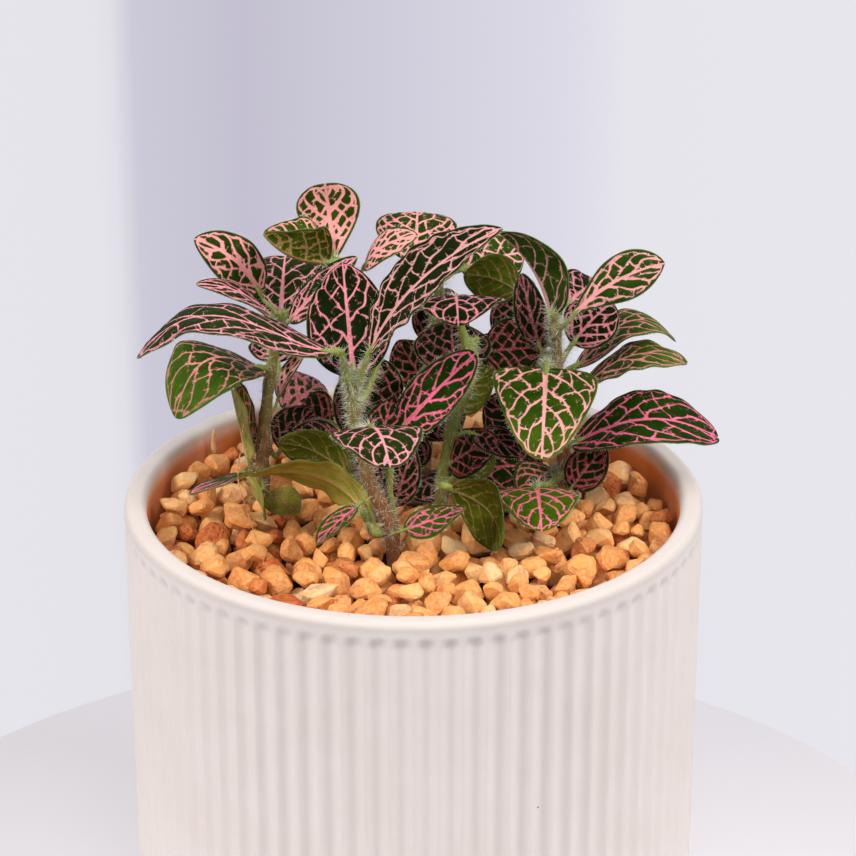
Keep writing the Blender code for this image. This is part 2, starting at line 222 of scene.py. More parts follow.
def settle_modifiers(obj: bpy.types.Object) -> None:
    """Replaces the object's mesh by what its modifiers make, and takes them off.

    Args:
        obj: The object.
    """
    graph = bpy.context.evaluated_depsgraph_get()
    graph.update()
    made = bpy.data.meshes.new_from_object(obj.evaluated_get(graph))
    obj.modifiers.clear()
    obj.data = made


def keep_piece(obj: bpy.types.Object, slot: str, *nodes: str) -> None:
    """Hands a finished piece to the frame.

    Args:
        obj: The finished piece, at the origin.
        slot: Not used.
        nodes: The CAD nodes that it stands for.
    """
    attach(obj, "root")
    if nodes:
        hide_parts(*nodes)
    obj.data.calc_loop_triangles()
    LOG.info("%s: %d triangles", obj.name, len(obj.data.loop_triangles))


# ---------------------------------------------------------------- node trees


@dataclass
class Sock:
    """A node's output that takes part in Python expressions; each operator adds a Math node."""

    net: "Net"
    link: bpy.types.NodeSocket

    def _math(self, operation: str, *terms: Any) -> "Sock":
        """One Math node over the terms, in their order."""
        return self.net.node("ShaderNodeMath", {"operation": operation}, dict(enumerate(terms)))

    def __add__(self, other: Any) -> "Sock":
        """self + other."""
        return self._math("ADD", self, other)

    def __radd__(self, other: Any) -> "Sock":
        """other + self."""
        return self._math("ADD", other, self)

    def __sub__(self, other: Any) -> "Sock":
        """self - other."""
        return self._math("SUBTRACT", self, other)

    def __rsub__(self, other: Any) -> "Sock":
        """other - self."""
        return self._math("SUBTRACT", other, self)

    def __mul__(self, other: Any) -> "Sock":
        """self * other."""
        return self._math("MULTIPLY", self, other)

    def __rmul__(self, other: Any) -> "Sock":
        """other * self."""
        return self._math("MULTIPLY", other, self)

    def __truediv__(self, other: Any) -> "Sock":
        """self / other."""
        return self._math("DIVIDE", self, other)

    def __lt__(self, other: Any) -> "Sock":
        """1 where self is below other."""
        return self._math("LESS_THAN", self, other)

    def __gt__(self, other: Any) -> "Sock":
        """1 where self is above other."""
        return self._math("GREATER_THAN", self, other)

    def apply(self, operation: str, *others: Any) -> "Sock":
        """Any other Math operation on self and the others."""
        return self._math(operation, self, *others)

    def ramp(self, low: float, high: float) -> "Sock":
        """A soft step of self, 0 at low and 1 at high."""
        ends = {"Value": self, "From Min": low, "From Max": high}
        return self.net.node("ShaderNodeMapRange", {"interpolation_type": "SMOOTHSTEP"}, ends)

    def other(self, name: str) -> "Sock":
        """Another output of the same node."""
        return Sock(self.net, self.link.node.outputs[name])


@dataclass
class Net:
    """A node tree that is filled from Python."""

    tree: bpy.types.NodeTree

    def node(
        self, kind: str, settings: dict | None = None, inputs: dict | None = None, out: int = 0
    ) -> Sock:
        """Adds a node.

        Args:
            kind: The node's type.
            settings: Its own properties, set before its sockets; "stops" fills a colour ramp.
            inputs: Values or Socks by socket name or number.
            out: Number of the output that is returned.

        Returns:
            The chosen output.
        """
        made = self.tree.nodes.new(kind)
        for key, value in (settings or {}).items():
            if key == "stops":
                self._stops(made.color_ramp, value)
            else:
                setattr(made, key, value)
        for key, value in (inputs or {}).items():
            if isinstance(value, Sock):
                self.tree.links.new(value.link, made.inputs[key])
            else:
                made.inputs[key].default_value = value
        return Sock(self, made.outputs[out]) if made.outputs else Sock(self, made.inputs[0])

    @staticmethod
    def _stops(ramp: bpy.types.ColorRamp, stops: list[tuple[float, str]]) -> None:
        """Fills a colour ramp.

        Args:
            ramp: The ramp.
            stops: Places from 0 to 1 with display colours.
        """
        while len(ramp.elements) < len(stops):
            ramp.elements.new(0.5)
        for element, (place, code) in zip(ramp.elements, stops):
            element.position = place
            element.color = (*hue(code), 1)

    def mix(self, factor: Any, a: Any, b: Any, blend: str = "MIX") -> Sock:
        """Two colours mixed by a factor.

        Args:
            factor: 0 gives a and 1 gives b.
            a: A Sock or a display colour.
            b: A Sock or a display colour.
            blend: The way that b is laid on a.

        Returns:
            The mixed colour.
        """
        a, b = ((*hue(c), 1) if isinstance(c, str) else c for c in (a, b))
        settings = {"data_type": "RGBA", "blend_type": blend, "clamp_factor": True}
        return self.node("ShaderNodeMix", settings, {0: factor, 6: a, 7: b}, out=2)

    def colours(self, stops: list[tuple[float, str]], at: Sock) -> Sock:
        """A colour ramp's colour at a number."""
        return self.node("ShaderNodeValToRGB", {"stops": stops}, {0: at})

    def vector(self, operation: str, *terms: Any, out: int = 0) -> Sock:
        """One Vector Math node over the terms, in their order."""
        return self.node("ShaderNodeVectorMath", {"operation": operation}, dict(enumerate(terms)), out)

    def split(self, vector: Sock) -> tuple[Sock, Sock, Sock]:
        """The three numbers of a vector."""
        first = self.node("ShaderNodeSeparateXYZ", {}, {"Vector": vector})
        return first, first.other("Y"), first.other("Z")

    def joined(self, x: Any, y: Any, z: Any) -> Sock:
        """A vector of three numbers."""
        return self.node("ShaderNodeCombineXYZ", {}, {0: x, 1: y, 2: z})

    def named(self, name: str, kind: str = "FLOAT") -> Sock:
        """A mesh attribute, read in Geometry Nodes."""
        return self.node("GeometryNodeInputNamedAttribute", {"data_type": kind}, {"Name": name})

    def place(self) -> Sock:
        """Object coordinates."""
        return self.node("ShaderNodeTexCoord", out=3)

    def attribute(self, name: str, out: int = 2) -> Sock:
        """A mesh attribute; output 2 is its number and 0 its colour."""
        return self.node("ShaderNodeAttribute", {"attribute_name": name}, out=out)

    def noise(self, size: float, detail: float = 3, rough: float = 0.55, at: Sock | None = None) -> Sock:
        """Noise with features of a size.

        Args:
            size: The features' size in millimetres.
            detail: How many finer layers it has.
            rough: How strong those are.
            at: Where it is read, object coordinates by default.

        Returns:
            Numbers from 0 to 1.
        """
        inputs = {"Vector": at or self.place(), "Scale": 1 / (size * MM)}
        inputs |= {"Detail": detail, "Roughness": rough}
        return self.node("ShaderNodeTexNoise", {}, inputs)

    def cells(self, size: float, feature: str = "F1", at: Sock | None = None) -> Sock:
        """Distance in a Voronoi pattern with cells of a size in millimetres."""
        inputs = {"Vector": at or self.place(), "Scale": 1 / (size * MM)}
        return self.node("ShaderNodeTexVoronoi", {"feature": feature}, inputs)

    def bump(self, height: Sock, depth: float, normal: Sock | None = None) -> Sock:
        """Bumps the surface.

        Args:
            height: Its height, of about one unit.
            depth: That unit's depth in millimetres.
            normal: A normal that is already bumped.

        Returns:
            The bumped normal.
        """
        inputs = {"Height": height, "Distance": depth * MM, "Strength": 1.0}
        if normal:
            inputs["Normal"] = normal
        return self.node("ShaderNodeBump", {}, inputs)


@dataclass(frozen=True)
class Finish:
    """A procedural finish; each kind fills in its own nodes."""

    name: str

    def sockets(self, net: Net) -> dict[str, Any]:
        """The Principled shader's inputs."""
        return {}

    def make(self) -> bpy.types.Material:
        """Builds the material.

        Returns:
            The material.
        """
        made = bpy.data.materials.new(self.name)
        made.use_nodes = True
        made.node_tree.nodes.clear()
        net = Net(made.node_tree)
        shader = net.node("ShaderNodeBsdfPrincipled", {}, self.sockets(net))
        net.node("ShaderNodeOutputMaterial", {}, {"Surface": shader})
        return made


@dataclass
class Recipe:
    """A Geometry Nodes tree with named inputs, built from Python and used up into plain meshes."""

    name: str
    knobs: dict[str, tuple[str, Any]]
    net: Net = field(init=False)
    source: dict[str, Sock] = field(init=False)
    keys: dict[str, str] = field(init=False)

    def __post_init__(self) -> None:
        """Makes the empty tree with its named inputs."""
        tree = bpy.data.node_groups.new(self.name, "GeometryNodeTree")
        face = tree.interface
        face.new_socket("Geometry", in_out="INPUT", socket_type="NodeSocketGeometry")
        face.new_socket("Geometry", in_out="OUTPUT", socket_type="NodeSocketGeometry")
        self.keys = {}
        for label, (kind, value) in self.knobs.items():
            item = face.new_socket(label, in_out="INPUT", socket_type=kind)
            if value is not None:
                item.default_value = value
            self.keys[label] = item.identifier
        self.net = Net(tree)
        first = self.net.node("NodeGroupInput")
        self.source = {label: first.other(label) for label in ("Geometry", *self.knobs)}

    def close(self, shape: Sock) -> None:
        """Ends the tree in Realize Instances and Set Material.

        Args:
            shape: The geometry that the tree has made.
        """
        real = self.net.node("GeometryNodeRealizeInstances", {}, {"Geometry": shape})
        inputs = {"Geometry": real, "Material": self.source["Finish"]}
        dressed = self.net.node("GeometryNodeSetMaterial", {}, inputs)
        self.net.node("NodeGroupOutput", {}, {"Geometry": dressed})

    def stand_hairs(self, points: Sock, turn: Sock, reach: Sock) -> None:
        """Ends the tree in a tapered three-sided hair on every point.

        Args:
            points: The hairs' roots.
            turn: Each hair's rotation.
            reach: Each hair's length in metres.
        """
        inputs = {"Vertices": 3, "Radius Top": 0.12, "Radius Bottom": 1.0, "Depth": 1.0}
        cone = self.net.node("GeometryNodeMeshCone", {"fill_type": "NONE"}, inputs)
        size = self.net.joined(self.source["Width"], self.source["Width"], reach)
        inputs = {"Points": points, "Instance": cone, "Rotation": turn, "Scale": size}
        self.close(self.net.node("GeometryNodeInstanceOnPoints", {}, inputs))

    def grow(self, obj: bpy.types.Object, **values: Any) -> bpy.types.Object:
        """Runs the tree on an object and keeps the result as its plain mesh.

        Args:
            obj: The object whose mesh goes in.
            values: Values of the named inputs, with _ for each space.

        Returns:
            The same object.
        """
        step = obj.modifiers.new(self.name, "NODES")
        step.node_group = self.net.tree
        for label, value in values.items():
            step[self.keys[label.replace("_", " ")]] = value
        settle_modifiers(obj)
        return obj


# ---------------------------------------------------------------- finishes


@dataclass(frozen=True)
class PotGlaze(Finish):
    """Matte warm-white glaze with a few iron specks, darkened by painted shade at the lip and tinted inside
    by stone dust and painted warm bounce light from the stones.

    The painted lip shade's heights, the mouth's radius and the height of the dust and painted bounce light
    are in millimetres.
    """

    body: str = "e9e2df"
    # lip is painted shade: a darker tone that tones down the light on the top of the rim.
    lip: str = "d0c7c1"
    # dust is partly stone dust and partly painted warm light bounced from the stones onto the inside wall.
    dust_and_bounce: str = "dc7c30"
    speck: str = "6b4632"
    lip_shade_start: float = 111.5
    lip_shade_end: float = 114.4
    mouth: float = 58.6
    dust_and_bounce_line: float = 114.2

    def sockets(self, net: Net) -> dict[str, Any]:
        """The Principled shader's inputs.

        Args:
            net: The material's node tree.

        Returns:
            Values and Socks by socket name.
        """
        place = net.place()
        height = net.split(place)[2] / MM
        radius = net.vector("LENGTH", net.vector("MULTIPLY", place, (1, 1, 0)), out=1) / MM
        cloud = net.noise(18, 4, at=place)
        base = net.mix(cloud.ramp(0.3, 0.75) * 0.5, self.body, "e4dad3")
        # Painted shade: the glaze darkens towards the top of the lip.
        base = net.mix(height.ramp(self.lip_shade_start, self.lip_shade_end) * 0.75, base, self.lip)
        # Stone dust and painted bounce light: the inside wall below the rim is tinted orange.
        inside = (radius < self.mouth) * (height < self.dust_and_bounce_line)
        dusty_and_bounce_lit = height.ramp(self.dust_and_bounce_line + 0.5, self.dust_and_bounce_line - 4.2)
        base = net.mix(inside * dusty_and_bounce_lit * (0.72 + 0.4 * cloud), base, self.dust_and_bounce)
        dots = net.cells(5.2, at=place)
        chance = net.noise(26, 1, at=place).ramp(0.60, 0.66)
        base = net.mix((dots < 0.035) * chance, base, self.speck)
        grain = net.noise(0.5, 5, 0.7, at=place)
        swell = net.noise(9, 2, at=place)
        normal = net.bump(grain, 0.012, net.bump(swell, 0.25))
        return {
            "Base Color": base,
            "Roughness": 0.45 + grain * 0.18,
            "Normal": normal,
            "Specular IOR Level": 0.2,
        }


@dataclass(frozen=True)
class SoilFinish(Finish):
    """Dark crumbly potting soil."""

    def sockets(self, net: Net) -> dict[str, Any]:
        """The Principled shader's inputs.

        Args:
            net: The material's node tree.

        Returns:
            Values and Socks by socket name.
        """
        crumb = net.cells(1.6)
        grain = net.noise(0.7, 6, 0.7)
        base = net.colours([(0.3, "1a0f08"), (0.6, "37230f"), (0.8, "5a3d20")], grain)
        return {"Base Color": base, "Roughness": 0.85 + 0.1 * grain, "Normal": net.bump(crumb + grain, 0.6)}


@dataclass(frozen=True)
class StoneFinish(Finish):
    """Honey-coloured crushed stone: stained, pitted and pale on its rubbed faces."""

    def sockets(self, net: Net) -> dict[str, Any]:
        """The Principled shader's inputs.

        Args:
            net: The material's node tree.

        Returns:
            Values and Socks by socket name.
        """
        place = net.place()
        shade = net.attribute("shade")
        rust = net.attribute("rust")
        worn = net.attribute("worn")
        stops = [(0.0, "d27c2c"), (0.3, "e8923c"), (0.6, "f0a44e"), (0.85, "f2ba72"), (1.0, "f2d6a6")]
        stain = net.noise(3.4, 4, 0.6, at=place)
        mottle = net.noise(0.9, 5, 0.65, at=place)
        ground = net.colours(stops, shade + (stain - 0.5) * 0.7)
        stained = net.mix(stain.ramp(0.5, 0.7) * 0.7, ground, "cc661a")
        pale = net.mix(mottle.ramp(0.54, 0.7) * 0.4, stained, "f8c884")
        edged = net.mix(worn * mottle.ramp(0.35, 0.6) * 0.3, pale, "fad6a2")
        brick = net.colours([(0.25, "8a3210"), (0.5, "c25c22"), (0.75, "e2883c")], mottle)
        coloured = net.mix(rust, edged, brick)
        pits = net.cells(0.75, at=place).ramp(0.12, 0.42)
        pitted = (1 - pits) * (0.25 + rust * 0.75) * stain.ramp(0.42, 0.6)
        base = net.mix(pitted * 0.6, coloured, "7a3a12")
        height = mottle * 0.7 + net.noise(0.28, 4, 0.7, at=place) * 0.25 - pitted * 0.9
        return {"Base Color": base, "Roughness": 0.55 + 0.3 * mottle, "Normal": net.bump(height, 0.34)}


@dataclass(frozen=True)
class LeafFinish(Finish):
    """Leaf skin: coloured veins in a finely beaded green, with a thin pale edge."""

    def sockets(self, net: Net) -> dict[str, Any]:
        """The Principled shader's inputs.

        Args:
            net: The material's node tree.

        Returns:
            Values and Socks by socket name.
        """
        place = net.place()
        vein = net.attribute("vein")
        margin = net.attribute("margin")
        bead = net.cells(0.34, at=place)
        cloud = net.noise(3.0, 3, at=place)
        grain = net.noise(0.45, 3, 0.6, at=place)
        ragged = vein + (grain - 0.5) * 0.12
        line = ragged.ramp(0.10, -0.05)
        halo = ragged.ramp(0.32, 0.0)
        blade = net.attribute("blade_tint", out=0)
        vein_tint = net.attribute("vein_tint", out=0)
        fresh = net.mix(cloud.ramp(0.35, 0.7) * 0.5, blade, net.mix(1.0, blade, "a8b878", "MULTIPLY"))
        # Pale green dots at the beads' middles: partly their own speckle, partly painted sparkle.
        beaded = net.mix(bead.ramp(0.45, 0.1) * 0.03, fresh, "7d9448")
        near = net.mix(halo * 0.04, beaded, vein_tint)
        pulled = net.mix(grain.ramp(0.35, 0.75) * 0.22, vein_tint, "fff0e8")
        base = net.mix(line, near, pulled)
        rim = margin.ramp(0.30, 0.10)
        base = net.mix(rim * 0.6, base, net.attribute("edge_tint", out=0))
        height = bead.ramp(0.5, 0.0) * 0.5 + grain * 0.4 - line * 0.5
        return {
            "Base Color": base,
            "Roughness": 0.36 + 0.16 * grain + 0.12 * line,
            "Normal": net.bump(height, 0.06),
            "IOR": 1.3,
            "Specular IOR Level": 0.06,
        }


@dataclass(frozen=True)
class StemFinish(Finish):
    """Soft stem skin: green when young, red-brown with age, ribbed along its length."""

    def sockets(self, net: Net) -> dict[str, Any]:
        """The Principled shader's inputs.

        Args:
            net: The material's node tree.

        Returns:
            Values and Socks by socket name.
        """
        place = net.place()
        age = net.attribute("age")
        cloud = net.noise(2.2, 3, at=place)
        streak = net.noise(0.5, 4, 0.6, at=net.vector("MULTIPLY", place, (1, 1, 0.18)))
        stops = [(0.0, "8f9f40"), (0.3, "76853a"), (0.55, "806239"), (0.8, "864c36"), (1.0, "6a3727")]
        skin = net.colours(stops, age + (cloud - 0.5) * 0.35)
        base = net.mix(streak.ramp(0.5, 0.75) * 0.3, skin, "c9a585")
        base = net.mix(streak.ramp(0.5, 0.3) * 0.35, base, "3c3014")
        normal = net.bump(streak + cloud * 0.4, 0.12)
        return {"Base Color": base, "Roughness": 0.42 + 0.2 * streak, "Normal": normal}


@dataclass(frozen=True)
class HairFinish(Finish):
    """Fine colourless hairs that catch the light."""

    tint: str = "dfe3d2"

    def sockets(self, net: Net) -> dict[str, Any]:
        """The Principled shader's inputs."""
        base = net.mix(net.noise(1.5, 2), self.tint, "c2c9ae")
        return {"Base Color": base, "Roughness": 0.35 + 0.1 * net.noise(4, 1), "Sheen Weight": 0.2}


@dataclass(frozen=True)
class DryFinish(Finish):
    """A dead fibre or twig."""

    tint: str = "9a4a26"

    def sockets(self, net: Net) -> dict[str, Any]:
        """The Principled shader's inputs.

        Args:
            net: The material's node tree.

        Returns:
            Values and Socks by socket name.
        """
        fibre = net.noise(0.8, 5, 0.7)
        base = net.mix(fibre.ramp(0.3, 0.7), self.tint, "d9a26a")
        return {"Base Color": base, "Roughness": 0.6 + 0.2 * fibre, "Normal": net.bump(fibre, 0.08)}


@dataclass(frozen=True)
class PaperFinish(Finish):
    """Smooth pale surface for the table."""

    tint: str = "e5e3e6"

    def sockets(self, net: Net) -> dict[str, Any]:
        """The Principled shader's inputs."""
        return {"Base Color": net.mix(net.noise(60, 2) * 0.2, self.tint, "d4d1d5"), "Roughness": 0.7}


@dataclass(frozen=True)
class BackdropFinish(Finish):
    """Pale glowing backdrop with one soft lavender fold of painted shade, drawn over its middle.

    reach is how far the drawing goes to each side, in millimetres.
    """

    reach: float = 561.0

    def sockets(self, net: Net) -> dict[str, Any]:
        """The Principled shader's inputs.

        Args:
            net: The material's node tree.

        Returns:
            Values and Socks by socket name.
        """
        across = net.split(net.place())[0] / MM
        stops = [
            (0.0, "e8e7ed"), (0.33, "e5e4eb"), (0.34, "e1e0e8"), (0.352, "cccad8"), (0.41, "c4c0d1"),
            (0.52, "d4d2df"), (0.58, "dcdae6"), (0.615, "e6e5ec"), (1.0, "ebe9ef"),
        ]  # fmt: skip
        # Painted shade: the lavender band is drawn into the glow's colour, and the backdrop glows instead
        # of being lit.
        wall = net.colours(stops, (across + self.reach) / (2 * self.reach))
        return {
            "Base Color": (0, 0, 0, 1),
            "Roughness": 1.0,
            "Specular IOR Level": 0.0,
            "Emission Color": wall,
            "Emission Strength": 1.0,
        }


# ---------------------------------------------------------------- leaves


@dataclass(frozen=True)
class Tints:
    """Colours and veins of one kind of blade.

    broad widens the veins, flush runs them together, rows spaces the side veins as a share of the
    length, and quilt is how far the green stands up between them, in millimetres.
    """

    vein: str
    blade: str
    under: str = "7d8038"
    under_vein: str = "a5854a"
    edge: str = "6f8048"
    tip: str = ""
    broad: float = 1.0
    flush: float = 0.0
    rows: float = 0.22
    quilt: float = 0.22


class Look(Enum):
    """The kinds of blade on the plant."""

    PALE = Tints("e48c9a", "1e3007")
    CREAM = Tints("e09c9a", "142205")
    ROSE = Tints("cc747e", "0c1b04")
    BROAD = Tints("ec9694", "243c08", broad=1.15, flush=0.03)
    YOUNG = Tints("ee9c98", "30460a", broad=1.3, flush=0.13, quilt=0.14)
    YOUNG_OLIVE = Tints("ee9a90", "35500f", "4c5a12", "a0843a", broad=1.25, flush=0.15)
    DULL = Tints("cc7c74", "243c08", tip="507018")
    FRESH = Tints("f5a4a6", "284806")
    LIME_UNDER = Tints("c7525c", "35500f", "b0b25e", "c2b874")
    CREAM_LIME = Tints("ea9e98", "2a4604", edge="7f9040", tip="46620a", broad=1.15)
    HOT = Tints("f2648e", "1a3a05")
    HOT_LIME = Tints("ec6080", "3c5e05", edge="86a044", broad=1.05)
    EMBER = Tints("d4527c", "35520d", edge="6a8030", broad=0.65)
    DUSK = Tints("c8787c", "22380c", "2a3e10", "b07874")
    # The crimson look and SHADE are darkened copies of the leaf colours: painted shade for leaves deep
    # inside and under the plant.
    SHADED_CRIMSON = Tints("98323f", "142404", "4a4e16")
    SHADE = Tints("7c3038", "0e1a04", "343a0e", "60482a")
    MOTTLED = Tints("b05a66", "2a3812", broad=1.3, flush=0.12)
    OLIVE = Tints("b8605a", "2a3c10", "566218", "80702a")
    LOW = Tints("e0708a", "27420d", "a4a84a", "b8984e")
    WITHERED = Tints("8c3430", "747826", "9a9c50", "a88048", broad=0.5)


@dataclass(frozen=True)
class Venation:
    """How the veins run over one flattened blade; lengths in millimetres.

    A side vein leans towards the tip and hooks over near the edge. far stands for no vein near.
    """

    length: float
    half: Callable[[np.ndarray], np.ndarray]
    broad: float
    flush: float
    rows: float
    seed: int
    lean: float = 0.34
    hook: float = 0.16
    spur_pitch: float = 1.7
    far: float = 9.0

    def _drift(self, v: np.ndarray) -> np.ndarray:
        """How far towards the tip a side vein has run at a share of the half width."""
        return self.length * (self.lean * v + self.hook * v**3)

    def _lane(self, x: np.ndarray, y: np.ndarray) -> np.ndarray:
        """Where the side vein through a point leaves the midrib."""
        v = np.clip(np.abs(y) / self.half(x), 0, 1.2)
        return x - self._drift(v)

    def _slope(self, x: np.ndarray, y: np.ndarray) -> np.ndarray:
        """How fast the lane changes over the blade.

        Args:
            x: Along the blade.
            y: Across the blade.

        Returns:
            Change for each millimetre.
        """
        e = 0.05
        dx = (self._lane(x + e, y) - self._lane(x - e, y)) / (2 * e)
        dy = (self._lane(x, y + e) - self._lane(x, y - e)) / (2 * e)
        return np.maximum(np.hypot(dx, dy), 0.5)

    def _links(self, x: np.ndarray, y: np.ndarray, edges: np.ndarray, strip: np.ndarray) -> np.ndarray:
        """Distance to the cross veins that tie neighbouring side veins together.

        Args:
            x: Along the blade.
            y: Across the blade.
            edges: Lanes of the side veins.
            strip: Which gap between side veins each point is in.

        Returns:
            Millimetres to the nearest cross vein.
        """
        out = np.full(x.shape, self.far)
        pitch = float(np.clip(self.length * 0.16, 2.3, 4.2))
        reach = float(self.half(np.array(self.length * 0.45)))
        for side in (-1, 1):
            for k in range(-1, len(edges)):
                inside = (strip == k) & (np.sign(y + 1e-9) == side)
                if not inside.any():
                    continue
                seed = self.seed * 97 + (k + 2) * 5 + (side > 0)
                rng = np.random.default_rng(seed % MOST_SEEDS)
                low = edges[max(k, 0)] - (pitch if k < 0 else 0)
                high = edges[min(k + 1, len(edges) - 1)] + (pitch if k + 1 >= len(edges) else 0)
                count = max(2, round(math.hypot(reach, 0.5 * self.length) / pitch))
                lateral = (np.arange(count) + rng.uniform(0.15, 0.85, count)) * reach * 1.05 / count
                lane = low + (high - low) * rng.uniform(0.3, 0.7, count)
                where = lane + self.length * self.lean * lateral / reach
                for _ in range(3):
                    v = np.clip(lateral / self.half(where), 0, 1.2)
                    where = lane + self._drift(v)
                sites = np.stack([where, side * lateral], axis=1)
                points = np.stack([x[inside], y[inside]], axis=1)
                far = np.linalg.norm(points[:, None] - sites[None], axis=2)
                order = np.argsort(far, axis=1)[:, :2]
                rows = np.arange(len(points))
                near, second = far[rows, order[:, 0]], far[rows, order[:, 1]]
                gap = np.linalg.norm(sites[order[:, 0]] - sites[order[:, 1]], axis=1)
                out[inside] = (second**2 - near**2) / (2 * np.maximum(gap, 0.3))
        return out

    def _spurs(self, x: np.ndarray, y: np.ndarray, main: np.ndarray) -> np.ndarray:
        """Short thorns that stand out from the veins into the green.

        Args:
            x: Along the blade.
            y: Across the blade.
            main: Distance outside the main veins.

        Returns:
            Distance outside the nearest spur.
        """
        rng = np.random.default_rng(self.seed + 11)
        pitch, kinds = self.spur_pitch, 211
        cell = np.stack([np.floor(x / pitch), np.floor(y / pitch)], axis=-1).astype(int)
        table = rng.uniform(0.15, 0.85, (kinds, 2))
        best = np.full(x.shape, self.far)
        next_best = np.full(x.shape, self.far)
        for i in (-1, 0, 1):
            for j in (-1, 0, 1):
                c = cell + np.array((i, j))
                pick = table[(c[..., 0] * 37 + c[..., 1] * 101) % kinds]
                site = (c + pick) * pitch
                d = np.hypot(x - site[..., 0], y - site[..., 1])
                next_best = np.minimum(next_best, np.maximum(best, d))
                best = np.minimum(best, d)
        line = (next_best - best) * 0.6
        taper = 0.11 * self.broad * (1 - np.clip(main / 0.8, 0, 1))
        thin = ripple(x, y, self.seed + 5, 2.6) > 0.1
        return np.where(thin, line - taper, 0.6)

    def field(self, x: np.ndarray, y: np.ndarray, margin: np.ndarray) -> np.ndarray:
        """Distance outside the nearest vein, negative within it.

        Args:
            x: Along the blade from its base.
            y: Across the blade from its midrib.
            margin: Distance from the blade's edge.

        Returns:
            Signed distances in millimetres.
        """
        length, seed, broad = self.length, self.seed, self.broad
        rng = np.random.default_rng(seed)
        wave = min(1.0, length / 22)
        x = x + 0.34 * wave * ripple(x, y, seed + 1, 4.5)
        y = y + 0.26 * wave * ripple(x, y, seed + 2, 5.0) * smooth(np.abs(y), 0.0, 1.5)
        v = np.clip(np.abs(y) / self.half(x), 0, 1)
        share = np.clip(x / length, 0, 1)
        spacing = length * self.rows
        edges = np.arange(-0.16 * length, length, spacing)
        edges = edges + rng.uniform(-0.16, 0.16, len(edges)) * spacing
        sided = np.where(y > 0, spacing * 0.4, 0.0)
        lane = self._lane(x, y) + sided
        strip = np.searchsorted(edges, lane) - 1
        below = lane - edges[np.clip(strip, 0, len(edges) - 1)]
        above = edges[np.clip(strip + 1, 0, len(edges) - 1)] - lane
        side_vein = np.minimum(np.abs(below), np.abs(above)) / self._slope(x, y)
        swell = 1 + 0.22 * ripple(x, y, seed + 3, 2.4)
        midrib = np.abs(y) - broad * (0.40 * (1 - share) + 0.12) * min(1.0, length / 20)
        sides = side_vein - broad * (0.25 - 0.10 * v) * (1 - 0.3 * share) * swell
        links = self._links(x, y, edges, strip) - broad * 0.13 * swell
        loop = np.abs(margin - 0.85 - 0.3 * ripple(x, y, seed + 4, 4.0)) - broad * 0.13 * swell
        fade = 0.5 * (1 - smooth(margin, 0.25, 0.75))
        loop = np.where(share > 0.12, loop, 1.0)
        main = np.minimum(np.minimum(midrib, sides + fade), np.minimum(links + fade, loop + 0.04))
        both = np.minimum(main, self._spurs(x, y, main) + fade)
        heart = (1 - v**2) * smooth(share, 0.0, 0.3) * (0.7 + 0.5 * ripple(x, y, seed + 6, 5.0))
        return both - self.flush * heart


FULLNESS, BLUNTEST = 0.76, 0.42
BASE_HALF, TIP_HALF = 0.7, 0.35


@dataclass(frozen=True)
class Leaf:
    """One blade: its ends, its width and the way that its upper side faces.

    node is the height on the stem that it grows from. folds lift its halves, curl rolls them,
    twist turns it along its length, all in degrees. arch and bow bend it up and sideways, most
    near the tip where skew is above 1. widest above 1 broadens it near the tip, and a small blunt
    rounds its ends. sag drops its stalk.
    """

    name: str
    stem: str
    node: float
    base: tuple
    tip: tuple
    width: float
    face: tuple
    look: Look
    folds: tuple = (4, 4)
    arch: float = 2.0
    bow: float = 0.0
    skew: float = 1.0
    curl: float = 10.0
    twist: float = 0.0
    widest: float = 0.85
    blunt: float = 0.75
    sag: float = 0.12

    @property
    def length(self) -> float:
        """Base to tip, in millimetres."""
        return math.dist(self.base, self.tip)

    def half(self, t: np.ndarray) -> np.ndarray:
        """Half the blade's width.

        Args:
            t: Shares of its length.

        Returns:
            Millimetres.
        """
        t = np.clip(t, 1e-6, 1 - 1e-6)
        swell = np.sin(math.pi * t**self.widest) ** max(self.blunt * FULLNESS, BLUNTEST)
        return np.maximum(self.width / 2 * swell, BASE_HALF * (1 - t) + TIP_HALF * t)

    def half_at(self, x: np.ndarray) -> np.ndarray:
        """Half the blade's width at a distance from its base."""
        return self.half(x / self.length)

    def surface(self, t: np.ndarray, u: np.ndarray) -> np.ndarray:
        """Middle surface of the blade, in millimetres.

        Args:
            t: Shares of the length, from the base at 0 to the tip at 1.
            u: Shares of the half width, from the left edge at -1 to the right edge at 1.

        Returns:
            Points, one for each pair of t and u broadcast together.
        """
        t, u = np.broadcast_arrays(np.asarray(t, float), np.asarray(u, float))
        base, tip = np.array(self.base, float), np.array(self.tip, float)
        length = np.linalg.norm(tip - base)
        along = unit(tip - base)
        up = np.array(self.face, float)
        up = unit(up - (up @ along) * along)
        side = np.cross(along, up)
        ts = t**self.skew
        hump = 4 * ts * (1 - ts)
        slope = 4 * (1 - 2 * ts) * self.skew * np.maximum(t, 0.02) ** (self.skew - 1) / length
        lift, slide = (self.arch * hump)[..., None], (self.bow * hump)[..., None]
        middle = base + along * (t * length)[..., None] + up * lift + side * slide
        tangent = unit(along + up * (self.arch * slope)[..., None] + side * (self.bow * slope)[..., None])
        normal = unit(np.cross(np.broadcast_to(side, tangent.shape), tangent))
        across = np.cross(tangent, normal)
        turn = (math.radians(self.twist) * (t - 0.5))[..., None]
        across, normal = (
            across * np.cos(turn) + normal * np.sin(turn),
            normal * np.cos(turn) - across * np.sin(turn),
        )
        fold = np.radians(np.where(u < 0, self.folds[0], self.folds[1]))
        curl = math.radians(self.curl) or 1e-4
        out = (np.sin(fold) - np.sin(fold - curl * np.abs(u))) / curl
        rise = (np.cos(fold - curl * np.abs(u)) - np.cos(fold)) / curl
        half = self.half(t)
        return middle + across * (np.sign(u) * out * half)[..., None] + normal * (rise * half)[..., None]


